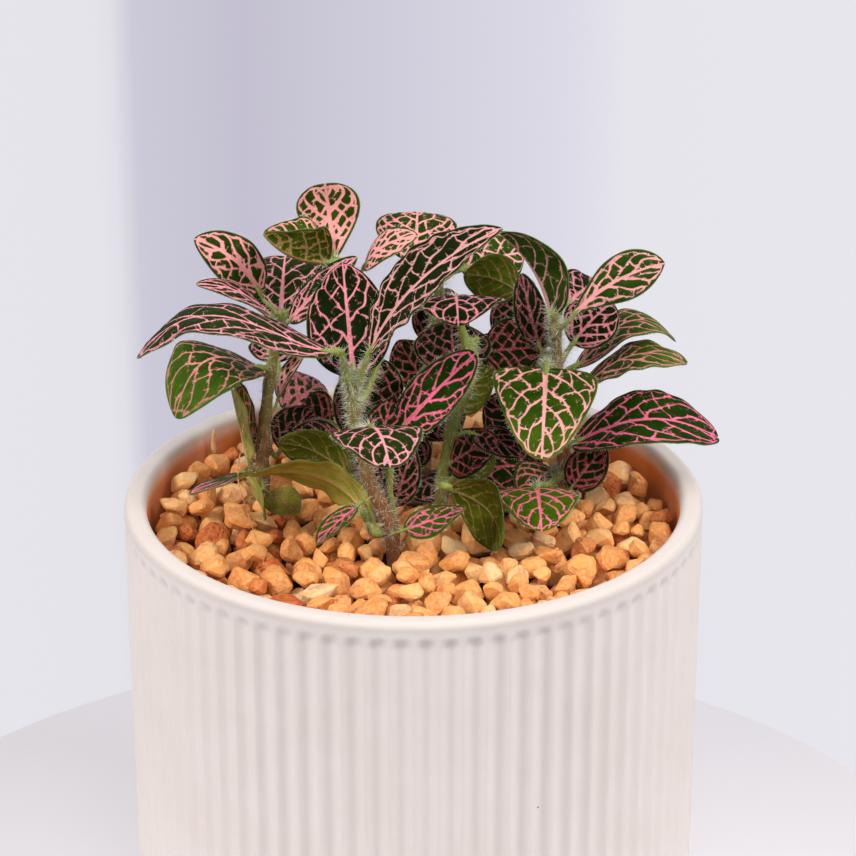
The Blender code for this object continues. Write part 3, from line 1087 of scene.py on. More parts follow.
# fmt: off
LEAVES = (
    Leaf("front_leaf_1", "front_stem", 29, (-17, -15, 39), (-57, -16, 38), 18, (0, 0, 1), Look.PALE,
         arch=9, skew=1.5, curl=16, widest=0.95, blunt=0.66),
    Leaf("front_leaf_2", "front_stem", 29, (-9, -14, 38.5), (18, -24, 69.5), 15, (-2, -3, 2), Look.CREAM,
         folds=(0, 35), arch=3, bow=-2.5, widest=0.8, blunt=0.92),
    Leaf("front_leaf_3", "front_stem", 28, (-12.5, -9, 31), (-15, 8, 50), 18, (0, -2, 1), Look.ROSE,
         folds=(8, 8), curl=20, widest=0.75),
    Leaf("front_leaf_4", "front_stem", 20, (-9, -20, 24), (-4.7, -38, 23), 19, (0, 0, 1), Look.PALE,
         folds=(0, 0), arch=3, widest=0.6, blunt=0.5),
    Leaf("front_leaf_5", "front_stem", -3, (-9.5, -13, -1.5), (-47.5, -14, 6), 16, (0, 3, 4), Look.LOW,
         folds=(5, 5), arch=9, skew=0.76, twist=60),
    Leaf("front_leaf_6", "front_stem", 24, (-7, -4, 33), (-13, -2, 13.5), 15, (1, -4, 1), Look.SHADE,
         folds=(6, 6), arch=1, curl=14),
    Leaf("left_leaf_1", "tall_left_stem", 43, (-17, 22, 45), (-19, 26, 61.5), 14, (0, -4, 1), Look.YOUNG,
         folds=(6, 6), arch=-2, curl=4, widest=2.0, blunt=0.48),
    Leaf("left_leaf_2", "tall_left_stem", 43, (-18, 18, 46.5), (-32, 14, 54.5), 22, (0, 0, 1),
         Look.YOUNG_OLIVE, folds=(70, 50), arch=-2, curl=20, widest=0.6),
    Leaf("left_leaf_3", "left_stem", 31, (-33.5, 24, 37), (-47.5, 24, 49.5), 11, (-1, -3, 3), Look.BROAD,
         folds=(0, 0), bow=1.7, curl=8, sag=-0.1),
    Leaf("left_leaf_4", "left_stem", 31, (-31, 19, 33), (-46.5, 12, 43.5), 10, (0, -1, 6), Look.PALE,
         folds=(0, 0), arch=2.5, curl=6),
    Leaf("left_leaf_5", "left_stem", 26, (-29, 23, 31), (-28.6, 42, 38.5), 22, (0, -1, 2), Look.PALE,
         folds=(10, 10), curl=16, widest=1.1, blunt=0.7),
    Leaf("left_leaf_6", "left_stem", 31, (-27, 18, 32.5), (-12, 14, 49), 8, (0, -2, 3), Look.PALE,
         arch=1, curl=8),
    Leaf("left_leaf_7", "left_stem", 20, (-32.5, 19, 21), (-51.5, 6, 15), 22.5, (-2, -2, 3), Look.DULL,
         folds=(0, 0), arch=10, skew=1.25, widest=1.2),
    Leaf("left_leaf_8", "left_stem", -3, (-36.5, 18, 0), (-40, 14, 21), 11, (3, -1, 1), Look.LIME_UNDER,
         folds=(45, 20), arch=0, curl=0),
    Leaf("left_leaf_9", "left_stem", 10, (-30, 24, 12), (-23.5, 30, 21), 6, (-2, -1, 2), Look.BROAD,
         folds=(10, 10), arch=1, curl=0),
    Leaf("left_leaf_10", "left_stem", 2, (-29, 34, 4), (-21, 44, 7), 13, (0, -3, 2), Look.MOTTLED,
         folds=(6, 6), curl=12),
    Leaf("left_leaf_11", "left_stem", 17, (-30, 26, 19.5), (-31.5, 38, 22), 12, (0, -2, 2), Look.ROSE,
         folds=(6, 6), arch=1, curl=12),
    Leaf("right_leaf_1", "right_stem", 34, (34, 8, 37.5), (53, 2, 52), 10.5, (-1, -3, 2), Look.FRESH,
         arch=1, bow=-1.7, curl=8, widest=1.6, blunt=0.85),
    Leaf("right_leaf_2", "right_stem", 34, (30, 11, 36.5), (18.5, 14, 54.5), 17, (3, 2, 2), Look.DUSK,
         folds=(30, 40), arch=2.2, curl=8),
    Leaf("right_leaf_3", "right_stem", 24, (28.5, 6, 26.5), (27, -14, 14), 22.5, (0, -2, 2),
         Look.CREAM_LIME, folds=(2, 2), arch=3, curl=8, widest=0.42, blunt=0.6),
    Leaf("right_leaf_4", "right_stem", 18, (35.5, 22, 20), (58, 26, 24.5), 16, (0, 0, 1), Look.DULL,
         arch=7.5, skew=1.4, curl=12, widest=1.15),
    Leaf("right_leaf_5", "right_stem", 15, (36, 14, 18), (59.5, 14, 24), 16, (0, 0, 1), Look.DULL,
         folds=(2, 2), arch=5, skew=1.2, curl=8, widest=1.25),
    Leaf("right_leaf_6", "right_stem", 5, (35, 10, 7), (66, 6, 10), 17.5, (0, -2, 3), Look.HOT,
         folds=(-4, 25), arch=8.5, skew=1.15, widest=1.0, blunt=0.6),
    Leaf("right_leaf_7", "right_stem", -5, (34.5, 7, -2.5), (42, 10, 6), 9.5, (-1, -3, 2), Look.SHADED_CRIMSON,
         arch=1),
    Leaf("right_leaf_8", "right_stem", 0, (26.5, -2, 2), (27, -20, 0), 18, (0, -1, 6), Look.HOT_LIME,
         folds=(0, 0), curl=8, widest=0.5, blunt=0.65),
    Leaf("right_leaf_9", "right_stem", 25, (34.5, 13.5, 29), (43.5, 20, 36), 12.5, (-1, -3, 2), Look.ROSE,
         curl=14),
    Leaf("right_leaf_10", "right_stem", 33, (33.5, 22, 35), (41, 36, 35), 12, (0, -3, 2), Look.ROSE,
         arch=1, curl=14),
    Leaf("right_leaf_11", "right_stem", 22, (27.5, 12.5, 28.5), (23.5, 18.5, 43.5), 7.5, (-1, -3, 1),
         Look.SHADE, folds=(6, 6), arch=1, curl=14),
    Leaf("middle_leaf_1", "tall_right_stem", 41, (0.5, 24, 44), (1, 38, 50.5), 18, (0, -3, 2), Look.BROAD,
         folds=(6, 6), widest=1.15, blunt=0.55),
    Leaf("middle_leaf_2", "tall_left_stem", 42, (-10.5, 18, 45.5), (1, 12, 54.5), 10, (0, -1, 2),
         Look.YOUNG, folds=(6, 6)),
    Leaf("middle_leaf_3", "front_stem", 16, (-3, -8, 18), (13, -10, 36.5), 11.5, (-2, -4, 2), Look.HOT,
         blunt=0.6, arch=1, curl=12),
    Leaf("middle_leaf_4", "middle_stem", 26, (9, 12.5, 40), (9.5, -3.5, 40), 20, (0, -1.4, 3), Look.ROSE,
         folds=(0, 0), arch=3, widest=0.6),
    Leaf("middle_leaf_5", "front_stem", -3, (-2, -18, -0.5), (11, -20, 5.5), 7.5, (-1, -2, 3), Look.EMBER,
         folds=(0, 0), arch=0, twist=60),
    Leaf("middle_leaf_6", "middle_stem", -1, (8, -9, 5), (18.5, -21, -3), 19, (2, 3, 1), Look.OLIVE,
         folds=(0, 0), arch=4, curl=16, widest=1.0),
    Leaf("inner_leaf_1", "tall_right_stem", 40, (10.5, 30, 40), (24.5, 38, 41), 14, (0, -3, 2),
         Look.FRESH, curl=14),
    Leaf("inner_leaf_2", "back_stem", 25.5, (23, 23, 38), (11, 24, 41), 14, (0, 3, 1), Look.OLIVE,
         curl=14),
    Leaf("inner_leaf_3", "back_stem", 22, (26, 26, 30), (18, 30, 32.5), 15, (0, -3, 2), Look.SHADE,
         arch=1),
    Leaf("inner_leaf_4", "middle_stem", 20, (8.5, 14, 22), (8.5, 24, 30), 17, (0, -3, 2), Look.SHADE,
         curl=14),
    Leaf("inner_leaf_5", "tall_right_stem", 20, (15.5, 19, 25), (28, 21, 25), 14, (0, -3, 2),
         Look.SHADED_CRIMSON, arch=1, curl=14),
    Leaf("shade_leaf_1", "tall_left_stem", 3, (-18, 23.5, 6), (-26, 30, 6), 12, (0, -3, 2), Look.SHADED_CRIMSON,
         curl=14),
    Leaf("shade_leaf_2", "tall_left_stem", 3, (-16, 16, 5.5), (-27, 15, 7), 7, (0, -2, 2), Look.SHADE,
         curl=14),
    Leaf("shade_leaf_3", "tall_left_stem", -4, (-14, 7, 0.5), (-29.5, 10, 7.5), 13, (0, 3, 1), Look.OLIVE,
         arch=3, curl=14),
    Leaf("under_leaf_1", "middle_stem", 10, (13, 4, 12), (23.5, 0, 8.5), 9, (0, -1, 3), Look.SHADE,
         arch=1),
    Leaf("under_leaf_2", "right_stem", -4, (29, 14, -1), (10.5, 12, -1), 13, (0, -2, 3), Look.SHADED_CRIMSON,
         curl=14),
    Leaf("under_leaf_3", "middle_stem", -1, (10.5, 6.5, 2.5), (17.5, 10.5, 7.5), 12, (1, 3, 1),
         Look.OLIVE, arch=1),
    Leaf("low_leaf_1", "front_stem", -5, (-12, -15, 3.5), (-20.5, -22, -2), 6, (-1, -1, 3), Look.EMBER,
         folds=(10, 10), arch=0.6, curl=0, sag=0.2),
    Leaf("low_leaf_2", "front_stem", 0, (-10.5, -1, 1), (-15.5, -7, 2), 6, (0, -2, 3), Look.SHADED_CRIMSON,
         arch=1),
    Leaf("low_leaf_3", "front_stem", 0, (-5.5, -6, 1.5), (-9, -3, 9), 5, (1, -3, 1), Look.SHADE,
         arch=0),
    Leaf("low_leaf_4", "left_stem", -3, (-36.5, 10, -0.5), (-32, -4, -4.5), 8, (1, 3, 1), Look.WITHERED,
         arch=1),
    Leaf("low_leaf_5", "left_stem", -5, (-31.5, 5, -2.5), (-25, -2, -4.5), 8, (0, -2, 3), Look.WITHERED,
         arch=1),
)
UNDERSTOREY = tuple(
    Leaf(f"small_leaf_{number}", *row, arch=1.5, curl=14)
    for number, row in enumerate((
        ("tall_left_stem", 8, (-13.5, 22, 7.5), (-5, 28, 14), 13, (0, -3, 2), Look.SHADE),
        ("tall_left_stem", 2, (-13.5, 17, 0.5), (-3.5, 14, 8.5), 13, (0, -3, 2), Look.SHADE),
        ("tall_right_stem", 6, (1, 24, 3.5), (-5, 18, -3), 12, (0, -3, 2), Look.SHADE),
        ("tall_right_stem", 12, (3, 25, 10.5), (10, 22, 3.5), 13, (0, -3, 2), Look.SHADE),
        ("middle_stem", 14, (9, 10, 14.5), (17, 14, 23.5), 11, (0, 3, 1), Look.OLIVE),
        ("middle_stem", 2, (7.5, 7, 3), (18.5, 1, 12), 11, (0, -2, 2), Look.SHADED_CRIMSON),
        ("back_stem", 6, (27.5, 26, 0.5), (16.5, 29, 9.5), 15, (0, -3, 2), Look.SHADE),
        ("back_stem", 1, (26, 23, -6), (18.5, 22, 3), 13, (0, -3, 2), Look.SHADED_CRIMSON),
        ("tall_right_stem", 0, (1, 20, -6), (7, 9, -6), 12, (0, -2, 2), Look.SHADE),
        ("front_stem", 4, (-4.5, -9, 0.5), (-0.5, -6, 14), 8, (1, -4, 1), Look.SHADE),
        ("back_stem", 14, (30, 26, 10), (21, 30, 22), 14, (0, -3, 2), Look.SHADE),
        ("tall_right_stem", 20, (2.5, 25, 14.5), (-3.5, 28, 24), 11, (0, -3, 2), Look.SHADED_CRIMSON),
        ("back_stem", 21, (30, 27, 23.5), (19, 32, 27.5), 13, (0, -3, 2), Look.SHADE),
        ("left_stem", 6, (-29.5, 19, 1.5), (-22.5, 24, 9.5), 11, (0, -3, 2), Look.SHADE),
        ("front_stem", 10, (-8, -10, 13.5), (-4.5, -4, 23.5), 9, (0, -3, 1), Look.SHADED_CRIMSON),
        ("tall_right_stem", 30, (4.5, 26, 23), (8, 30, 35.5), 13, (0, -3, 2), Look.SHADE),
        ("tall_right_stem", 16, (14.5, 25, 16), (19, 30, 24.5), 12, (0, -3, 2), Look.SHADE),
        ("right_stem", 3, (30.5, 14, -1), (23.5, 6, -4.5), 12, (0, -2, 2), Look.OLIVE),
    ), 1)
)
# fmt: on


@dataclass
class Blade:
    """The finished shape of one leaf: quilted between its veins, thin at its edge."""

    leaf: Leaf
    seed: int
    grain: float = 0.3
    quick_grain: float = 0.72
    thickness: float = 0.34
    edge: float = 0.5
    full_width: float = 14.0

    def _grid(self) -> tuple[np.ndarray, np.ndarray]:
        """Shares along and across that space the mesh evenly.

        Returns:
            A column of shares of the length, and a row of shares of the half width.
        """
        leaf = self.leaf
        grain = self.grain
        rows = int(np.clip(leaf.length * 1.2 / grain, 24, 180))
        columns = int(np.clip(leaf.width / grain, 12, 84)) // 2 * 2 + 1
        s = np.linspace(0, 1, rows)
        t = 0.45 * s + 0.55 * (1 - np.cos(math.pi * s)) / 2
        u = np.linspace(-1, 1, columns)
        return t[:, None], (0.7 * u + 0.3 * np.sin(u * math.pi / 2))[None, :]

    def _normals(self, points: np.ndarray) -> np.ndarray:
        """Outward directions of the upper side over a grid of points."""
        return unit(np.cross(np.gradient(points, axis=1), np.gradient(points, axis=0)))

    def shape(self) -> tuple[np.ndarray, np.ndarray, dict[str, np.ndarray]]:
        """The closed blade.

        Returns:
            Vertices in millimetres, four-sided faces, and the values for each vertex.
        """
        leaf, tints = self.leaf, self.leaf.look.value
        t, u = self._grid()
        half = leaf.half(t)
        x, y = np.broadcast_arrays(t * leaf.length, u * half)
        ends = np.minimum(t * leaf.length * 0.8 + 0.1, (1 - t) * leaf.length * 0.9 + 0.1)
        margin = np.minimum((1 - np.abs(u)) * half, ends)
        veins = Venation(leaf.length, leaf.half_at, tints.broad, tints.flush, tints.rows, self.seed)
        off_vein = veins.field(x, y, margin)
        middle = leaf.surface(t, u)
        normal = self._normals(middle)
        size = min(1.0, leaf.width / self.full_width)
        puff = tints.quilt * size * (1 - np.exp(-((np.maximum(off_vein, 0) / 0.55) ** 2)))
        wave = 0.4 * size * np.abs(u) ** 3 * ripple(x, y * 0.2, self.seed + 9, 8.0)
        wave = wave * smooth(t, 0.0, 0.2)
        keel = -0.25 * size * np.exp(-((y / 0.6) ** 2)) * (1 - t)
        inner = smooth(margin, 0.0, self.edge)
        offset = (puff - 0.1 + wave + keel) * inner + wave * (1 - inner)
        skin = middle + normal * offset[..., None]
        thick = self.thickness / 2 * np.sqrt(np.clip(margin / self.edge, 0, 1))
        rib = 0.35 * size * np.exp(-((y / 0.5) ** 2)) * (1 - 0.7 * t)
        top = skin + normal * thick[..., None]
        under = skin - normal * (thick + rib * smooth(margin, 0.0, 0.4))[..., None]
        points, faces = self._close(skin, top, under)
        return points, faces, self._values(off_vein, margin, x / leaf.length, np.abs(u) + 0 * x)

    def _close(
        self, skin: np.ndarray, top: np.ndarray, under: np.ndarray
    ) -> tuple[np.ndarray, np.ndarray]:
        """Joins the blade's two sides along its edge.

        Args:
            skin: Grid of points half way through the blade.
            top: Grid of the upper side.
            under: Grid of the under side.

        Returns:
            Vertices, and four-sided faces.
        """
        rows, columns = top.shape[:2]
        upper = np.arange(rows * columns).reshape(rows, columns)
        lower, inside = upper.copy(), (rows - 2, columns - 2)
        lower[1:-1, 1:-1] = rows * columns + np.arange(math.prod(inside)).reshape(inside)
        points = np.concatenate([top.reshape(-1, 3), under[1:-1, 1:-1].reshape(-1, 3)])
        seam = np.ones((rows, columns), bool)
        seam[1:-1, 1:-1] = False
        points[upper[seam]] = skin[seam]
        return points, np.concatenate([self._quads(upper, False), self._quads(lower, True)])

    @staticmethod
    def _quads(index: np.ndarray, flip: bool) -> np.ndarray:
        """Four-sided faces over a grid.

        Args:
            index: Grid of vertex numbers.
            flip: Whether the faces look the other way.

        Returns:
            Vertex numbers, one row for each face.
        """
        corners = (index[:-1, :-1], index[:-1, 1:], index[1:, 1:], index[1:, :-1])
        if flip:
            corners = corners[::-1]
        return np.stack([c.ravel() for c in corners], axis=1)

    def _values(
        self, off_vein: np.ndarray, margin: np.ndarray, t: np.ndarray, v: np.ndarray
    ) -> dict[str, np.ndarray]:
        """What the skin's finish reads, for the upper side and then the inside of the under side.

        Args:
            off_vein: Distance outside the nearest vein.
            margin: Distance from the blade's edge.
            t: Shares of the blade's length.
            v: Shares of its half width.

        Returns:
            Attribute values by name.
        """
        tints = self.leaf.look.value
        codes = (tints.blade, tints.vein, tints.edge, tints.tip or tints.blade)
        blade, vein, edge, tip = (np.array(hue(code)) for code in codes)
        low, low_line = (np.array(hue(code)) for code in (tints.under, tints.under_vein))
        tone = 1 + 0.12 * ripple(t * 20, v * 8, self.seed + 21, 6)[..., None]
        toward = (smooth(t, 0.45, 1.0) * 0.8 + smooth(v, 0.55, 1.0) * 0.3)[..., None]
        top_blade = (blade * (1 - toward) + tip * toward) * tone
        pulse = np.clip(0.5 + 0.5 * ripple(t * 20, v * 8, self.seed + 22, 9), 0, 1)[..., None]
        top_vein = vein * (0.88 + 0.16 * pulse) * (1 - 0.1 * smooth(v, 0.6, 1.0)[..., None])
        low_blade, low_vein = low * tone, low_line * (0.9 + 0.2 * pulse)
        inner = (slice(1, -1), slice(1, -1))

        def both(top: np.ndarray, low: np.ndarray) -> np.ndarray:
            """The upper side's values, then those of the under side's own vertices."""
            width = (-1,) if top.ndim == 2 else (-1, 3)
            return np.concatenate([top.reshape(width), low[inner].reshape(width)])

        return {
            "vein": both(off_vein, off_vein + 0.06),
            "margin": both(margin, margin),
            "blade_tint": both(top_blade, low_blade),
            "vein_tint": both(top_vein, low_vein),
            "edge_tint": both(edge * tone, edge * tone),
        }

    def build(self, finish: bpy.types.Material) -> bpy.types.Object:
        """Makes the blade's object.

        Args:
            finish: Its material.

        Returns:
            The object.
        """
        points, faces, values = self.shape()
        mesh = make_mesh(self.leaf.name + "_skin", to_metres(points), [faces])
        for name, column in values.items():
            set_numbers(mesh, name, column, "FLOAT_COLOR" if column.ndim == 2 else "FLOAT")
        mesh.materials.append(finish)
        return add_object(self.leaf.name + "_blade", mesh)

    def fringe(self, rng: np.random.Generator) -> tuple[np.ndarray, np.ndarray, np.ndarray]:
        """Roots, directions and lengths of the short hairs along the edge.

        Args:
            rng: Source of the hairs' small differences.

        Returns:
            Places in millimetres, directions, and lengths in millimetres.
        """
        count = int(self.leaf.length * 2.2)
        t = np.sort(rng.uniform(0.06, 0.985, count))
        sides = []
        for edge in (-1.0, 1.0):
            root = self.leaf.surface(t, np.full(count, edge))
            inner = self.leaf.surface(t, np.full(count, edge * 0.9))
            ahead = self.leaf.surface(np.minimum(t + 0.02, 1), np.full(count, edge)) - root
            away = unit(root - inner) + 0.55 * unit(ahead) + rng.normal(0, 0.22, (count, 3))
            sides.append((root, unit(away)))
        roots = np.concatenate([s[0] for s in sides])
        aims = np.concatenate([s[1] for s in sides])
        return roots, aims, rng.uniform(0.35, 0.8, len(roots))


@dataclass
class Foliage:
    """All the blades and the fine hairs along their edges."""

    leaves: tuple[Leaf, ...] = LEAVES + UNDERSTOREY
    hair_width: float = 0.035
    first_seed: int = 100

    def build(self, skin: bpy.types.Material, hair: bpy.types.Material) -> None:
        """Makes every blade and the fringe.

        Args:
            skin: The leaves' finish.
            hair: The hairs' finish.
        """
        rng = np.random.default_rng(5)
        roots, aims, reaches = [], [], []
        for number, leaf in enumerate(self.leaves):
            blade = Blade(leaf, seed=self.first_seed + number * 17)
            keep_piece(blade.build(skin), "leaf", *([leaf.name] if leaf in LEAVES else []))
            for store, part in zip((roots, aims, reaches), blade.fringe(rng)):
                store.append(part)
        mesh = make_mesh("fringe_roots", to_metres(np.concatenate(roots)), [])
        set_numbers(mesh, "aim", np.concatenate(aims), "FLOAT_VECTOR")
        set_numbers(mesh, "reach", np.concatenate(reaches) * MM)
        fringe = add_object("leaf_edge_hairs", mesh)
        self.bristles().grow(fringe, Width=self.hair_width * MM, Finish=hair)
        keep_piece(fringe, "leaf")

    @staticmethod
    def bristles() -> Recipe:
        """Writes the tree that stands one tapered hair on every point, along its own direction.

        Returns:
            The tree.
        """
        knobs = {"Width": ("NodeSocketFloat", 0.00004), "Finish": ("NodeSocketMaterial", None)}
        recipe = Recipe("bristles", knobs)
        aim = {"Vector": recipe.net.named("aim", "FLOAT_VECTOR")}
        turn = recipe.net.node("FunctionNodeAlignRotationToVector", {"axis": "Z"}, aim)
        recipe.stand_hairs(recipe.source["Geometry"], turn, recipe.net.named("reach"))
        return recipe


# ---------------------------------------------------------------- pot and soil


@dataclass
class Pot:
    """The fluted cylinder pot; lengths in millimetres."""

    top_radius: float = 62.5
    base_radius: float = 62.3
    wall: float = 4.8
    floor: float = 6.0
    chamfer: float = 1.2
    lip: float = 1.6
    flutes: int = 80
    depth: float = 0.95
    groove: float = 0.65
    flute_start: float = 1.0
    flute_end: float = 112.0
    run_in: float = 3.0
    run_out: float = 3.2
    outside: float = 60.5
    columns: int = 960

    def profile(self) -> np.ndarray:
        """The turned outline, from the base's middle round to the floor's middle.

        Returns:
            Radius and height of each point.
        """
        top, base = self.top_radius, self.base_radius
        inner = top - self.wall
        foot = np.radians(np.linspace(0, 90, 5))
        arc = np.radians(np.linspace(0, 90, 7))
        side = np.linspace(self.chamfer + 0.6, POT_HEIGHT - 8, 12)
        rise = np.concatenate([side, np.linspace(POT_HEIGHT - 7, POT_HEIGHT - self.lip - 0.5, 12)])
        round_in, round_up = self.lip * (1 - np.cos(arc)), POT_HEIGHT - self.lip * (1 - np.sin(arc))
        parts = [
            ((18.0, 38.0, 52.0), (0.0, 0.0, 0.0)),
            (base - self.chamfer * (1 - np.sin(foot)), self.chamfer * (1 - np.cos(foot))),
            (base + (top - base) * smooth(rise, 2, 109), rise),
            (top - round_in, round_up),
            ((inner + round_in)[::-1], round_up[::-1]),
            (np.linspace(inner - 0.05, inner - 0.9, 8), np.linspace(110, self.floor + 1.5, 8)),
            ((inner - 2.5, 40.0, 18.0), (self.floor, self.floor, self.floor)),
        ]
        return np.concatenate([np.stack(pair, axis=1) for pair in parts])

    def body(self) -> bpy.types.Object:
        """Makes the smooth turned pot, closed at both middles.

        Returns:
            Its object.
        """
        outline = self.profile()
        angle = np.arange(self.columns) / self.columns * math.tau
        radius, height = outline[:, :1], outline[:, 1:]
        rings = np.stack(
            [radius * np.cos(angle), radius * np.sin(angle), height + 0 * angle], axis=-1
        )
        points = np.concatenate([rings.reshape(-1, 3), [(0, 0, 0)], [(0, 0, self.floor)]]) * MM
        return add_object("fluted_pot", make_mesh("fluted_pot", points, wrap(len(outline), self.columns)))

    def fluting(self) -> Recipe:
        """Writes the tree that draws the outer wall in between evenly spaced ribs.

        Returns:
            The tree.
        """
        knobs = {
            "Count": ("NodeSocketInt", self.flutes),
            "Depth": ("NodeSocketFloat", self.depth * MM),
            "Outer": ("NodeSocketFloat", self.outside * MM),
            "Bottom": ("NodeSocketFloat", self.flute_start * MM),
            "Top": ("NodeSocketFloat", self.flute_end * MM),
            "Finish": ("NodeSocketMaterial", None),
        }
        recipe = Recipe("fluting", knobs)
        net, source = recipe.net, recipe.source
        place = net.node("GeometryNodeInputPosition")
        x, y, z = net.split(place)
        radius = (x * x + y * y).apply("SQRT")
        swing = (y.apply("ARCTAN2", x) * source["Count"]).apply("COSINE")
        valley = (0.5 - 0.5 * swing).apply("POWER", self.groove)
        start = z.ramp(source["Bottom"], source["Bottom"] + self.run_in * MM)
        end = z.ramp(source["Top"], source["Top"] - self.run_out * MM)
        pull = valley * source["Depth"] * start * end * (radius > source["Outer"]) / radius
        inward = net.node("ShaderNodeVectorMath", {"operation": "SCALE"}, {0: place, 3: pull * -1})
        inputs = {"Geometry": source["Geometry"], "Offset": net.vector("MULTIPLY", inward, (1, 1, 0))}
        recipe.close(net.node("GeometryNodeSetPosition", {}, inputs))
        return recipe

    def build(self) -> None:
        """Makes the finished pot."""
        obj = self.body()
        glaze = PotGlaze("matte_glaze").make()
        self.fluting().grow(obj, Finish=glaze)
        keep_piece(obj, "pot", "pot")


@dataclass
class Soil:
    """The potting soil's own solid, with crumbs for a finish."""

    node: str = "potting_soil"

    def build(self) -> None:
        """Dresses the CAD node."""
        solid = frame["nodes"][self.node]
        solid.data.materials.clear()
        solid.data.materials.append(SoilFinish("potting_soil_crumbs").make())


# ---------------------------------------------------------------- stems


STEMS = {
    "front_stem": (
        (-4.5, -12, -30), (-4.5, -12, -6), (-6.5, -12, 1.5), (-9, -12, 7.5),
        (-11, -12, 14.5), (-12.5, -12, 21), (-13, -12, 30),
    ),
    "left_stem": (
        (-33.5, 19, -30), (-33.5, 19, -6), (-33.5, 19, 1.5), (-32.5, 19, 11),
        (-31.5, 20, 19), (-30, 20, 26.5), (-28.5, 20, 31),
    ),
    "right_stem": (
        (34, 13, -30), (34, 13, -6), (33, 12, 3.5), (32, 12, 11.5),
        (31, 11, 21.5), (31, 11, 28.5), (30.5, 10, 35),
    ),
    "middle_stem": (
        (6, 8, -30), (6, 8, -6), (7, 8, 3.5), (9, 8, 13.5), (12, 10, 21), (13, 14, 27),
    ),
    "tall_left_stem": (
        (-13.5, 20, -30), (-13.5, 20, -6), (-15, 20, 13), (-15, 20, 27.5), (-15, 20, 39), (-16, 20, 43),
    ),
    "tall_right_stem": (
        (2.5, 24, -30), (2.5, 24, -6), (3, 24, 6.5), (4, 24, 23.5), (5.5, 25, 37), (5, 25, 41),
    ),
    "back_stem": (
        (24, 26, -30), (24, 26, -6), (26, 26, 3), (27.5, 26, 17.5), (29, 26, 27.5),
    ),
}
SIDE_SHOOTS = {
    "front_stem": ((-4.5, -12, -8), (-4.5, -9.5, -2), (-5, -9, 2.5), (-5, -9, 10.5), (-3.5, -9, 16)),
}
SHOOT_LEAVES = ("middle_leaf_3", "low_leaf_2", "low_leaf_3")


@dataclass(frozen=True)
class StemLook:
    """How brown one stem is, from 0 to 1, and how hairy it is."""

    age: float
    hairs: float


STEM_LOOKS = {
    "front_stem": StemLook(age=0.62, hairs=1.7),
    "left_stem": StemLook(age=0.55, hairs=0.8),
    "right_stem": StemLook(age=0.72, hairs=1.7),
    "middle_stem": StemLook(age=0.35, hairs=0.9),
    "tall_left_stem": StemLook(age=0.6, hairs=0.9),
    "tall_right_stem": StemLook(age=0.55, hairs=0.9),
    "back_stem": StemLook(age=0.6, hairs=0.7),
}


def curve_through(path: Any, step: float) -> np.ndarray:
    """A smooth line through the points of a path.

    Args:
        path: Points in millimetres.
        step: Usual distance between the points returned.

    Returns:
        Points along the line.
    """
    points = np.array(path, float)
    ends = np.concatenate([[2 * points[0] - points[1]], points, [2 * points[-1] - points[-2]]])
    out = []
    for a, b, c, d in zip(ends, ends[1:], ends[2:], ends[3:]):
        count = max(2, int(np.linalg.norm(c - b) / step))
        s = (np.arange(count) / count)[:, None]
        square, cube = 2 * a - 5 * b + 4 * c - d, 3 * b - a - 3 * c + d
        out.append(0.5 * (2 * b + (c - a) * s + square * s**2 + cube * s**3))
    return np.concatenate([*out, points[-1:]])


def tube(path: np.ndarray, radii: np.ndarray, sides: int) -> tuple[np.ndarray, np.ndarray, np.ndarray]:
    """A round bar of changing thickness, closed to a point at both ends.

    Args:
        path: Points along its middle.
        radii: Its radius at each point.
        sides: Points round it.

    Returns:
        Vertices, four-sided faces and three-sided faces.
    """
    ahead = unit(np.gradient(path, axis=0))
    side = unit(np.cross(ahead[0], (0.31, 0.83, 0.2)))
    rings = []
    angle = np.arange(sides) / sides * math.tau
    for point, way, radius in zip(path, ahead, radii):
        side = unit(side - (side @ way) * way)
        other = np.cross(way, side)
        rings.append(point + radius * (np.cos(angle)[:, None] * side + np.sin(angle)[:, None] * other))
    start, end = path[:1] - ahead[:1] * radii[0] * 0.5, path[-1:] + ahead[-1:] * radii[-1] * 0.5
    points = np.concatenate([*rings, start, end])
    return points, *wrap(len(path), sides)


def height_on(path: tuple, height: float) -> np.ndarray:
    """The point of a path at a height.

    Args:
        path: Points in millimetres, rising.
        height: Height above the rim plane.

    Returns:
        The point.
    """
    points = np.array(path, float)
    height = min(max(height, points[0][2]), points[-1][2])
    return np.array([np.interp(height, points[:, 2], points[:, k]) for k in range(3)])


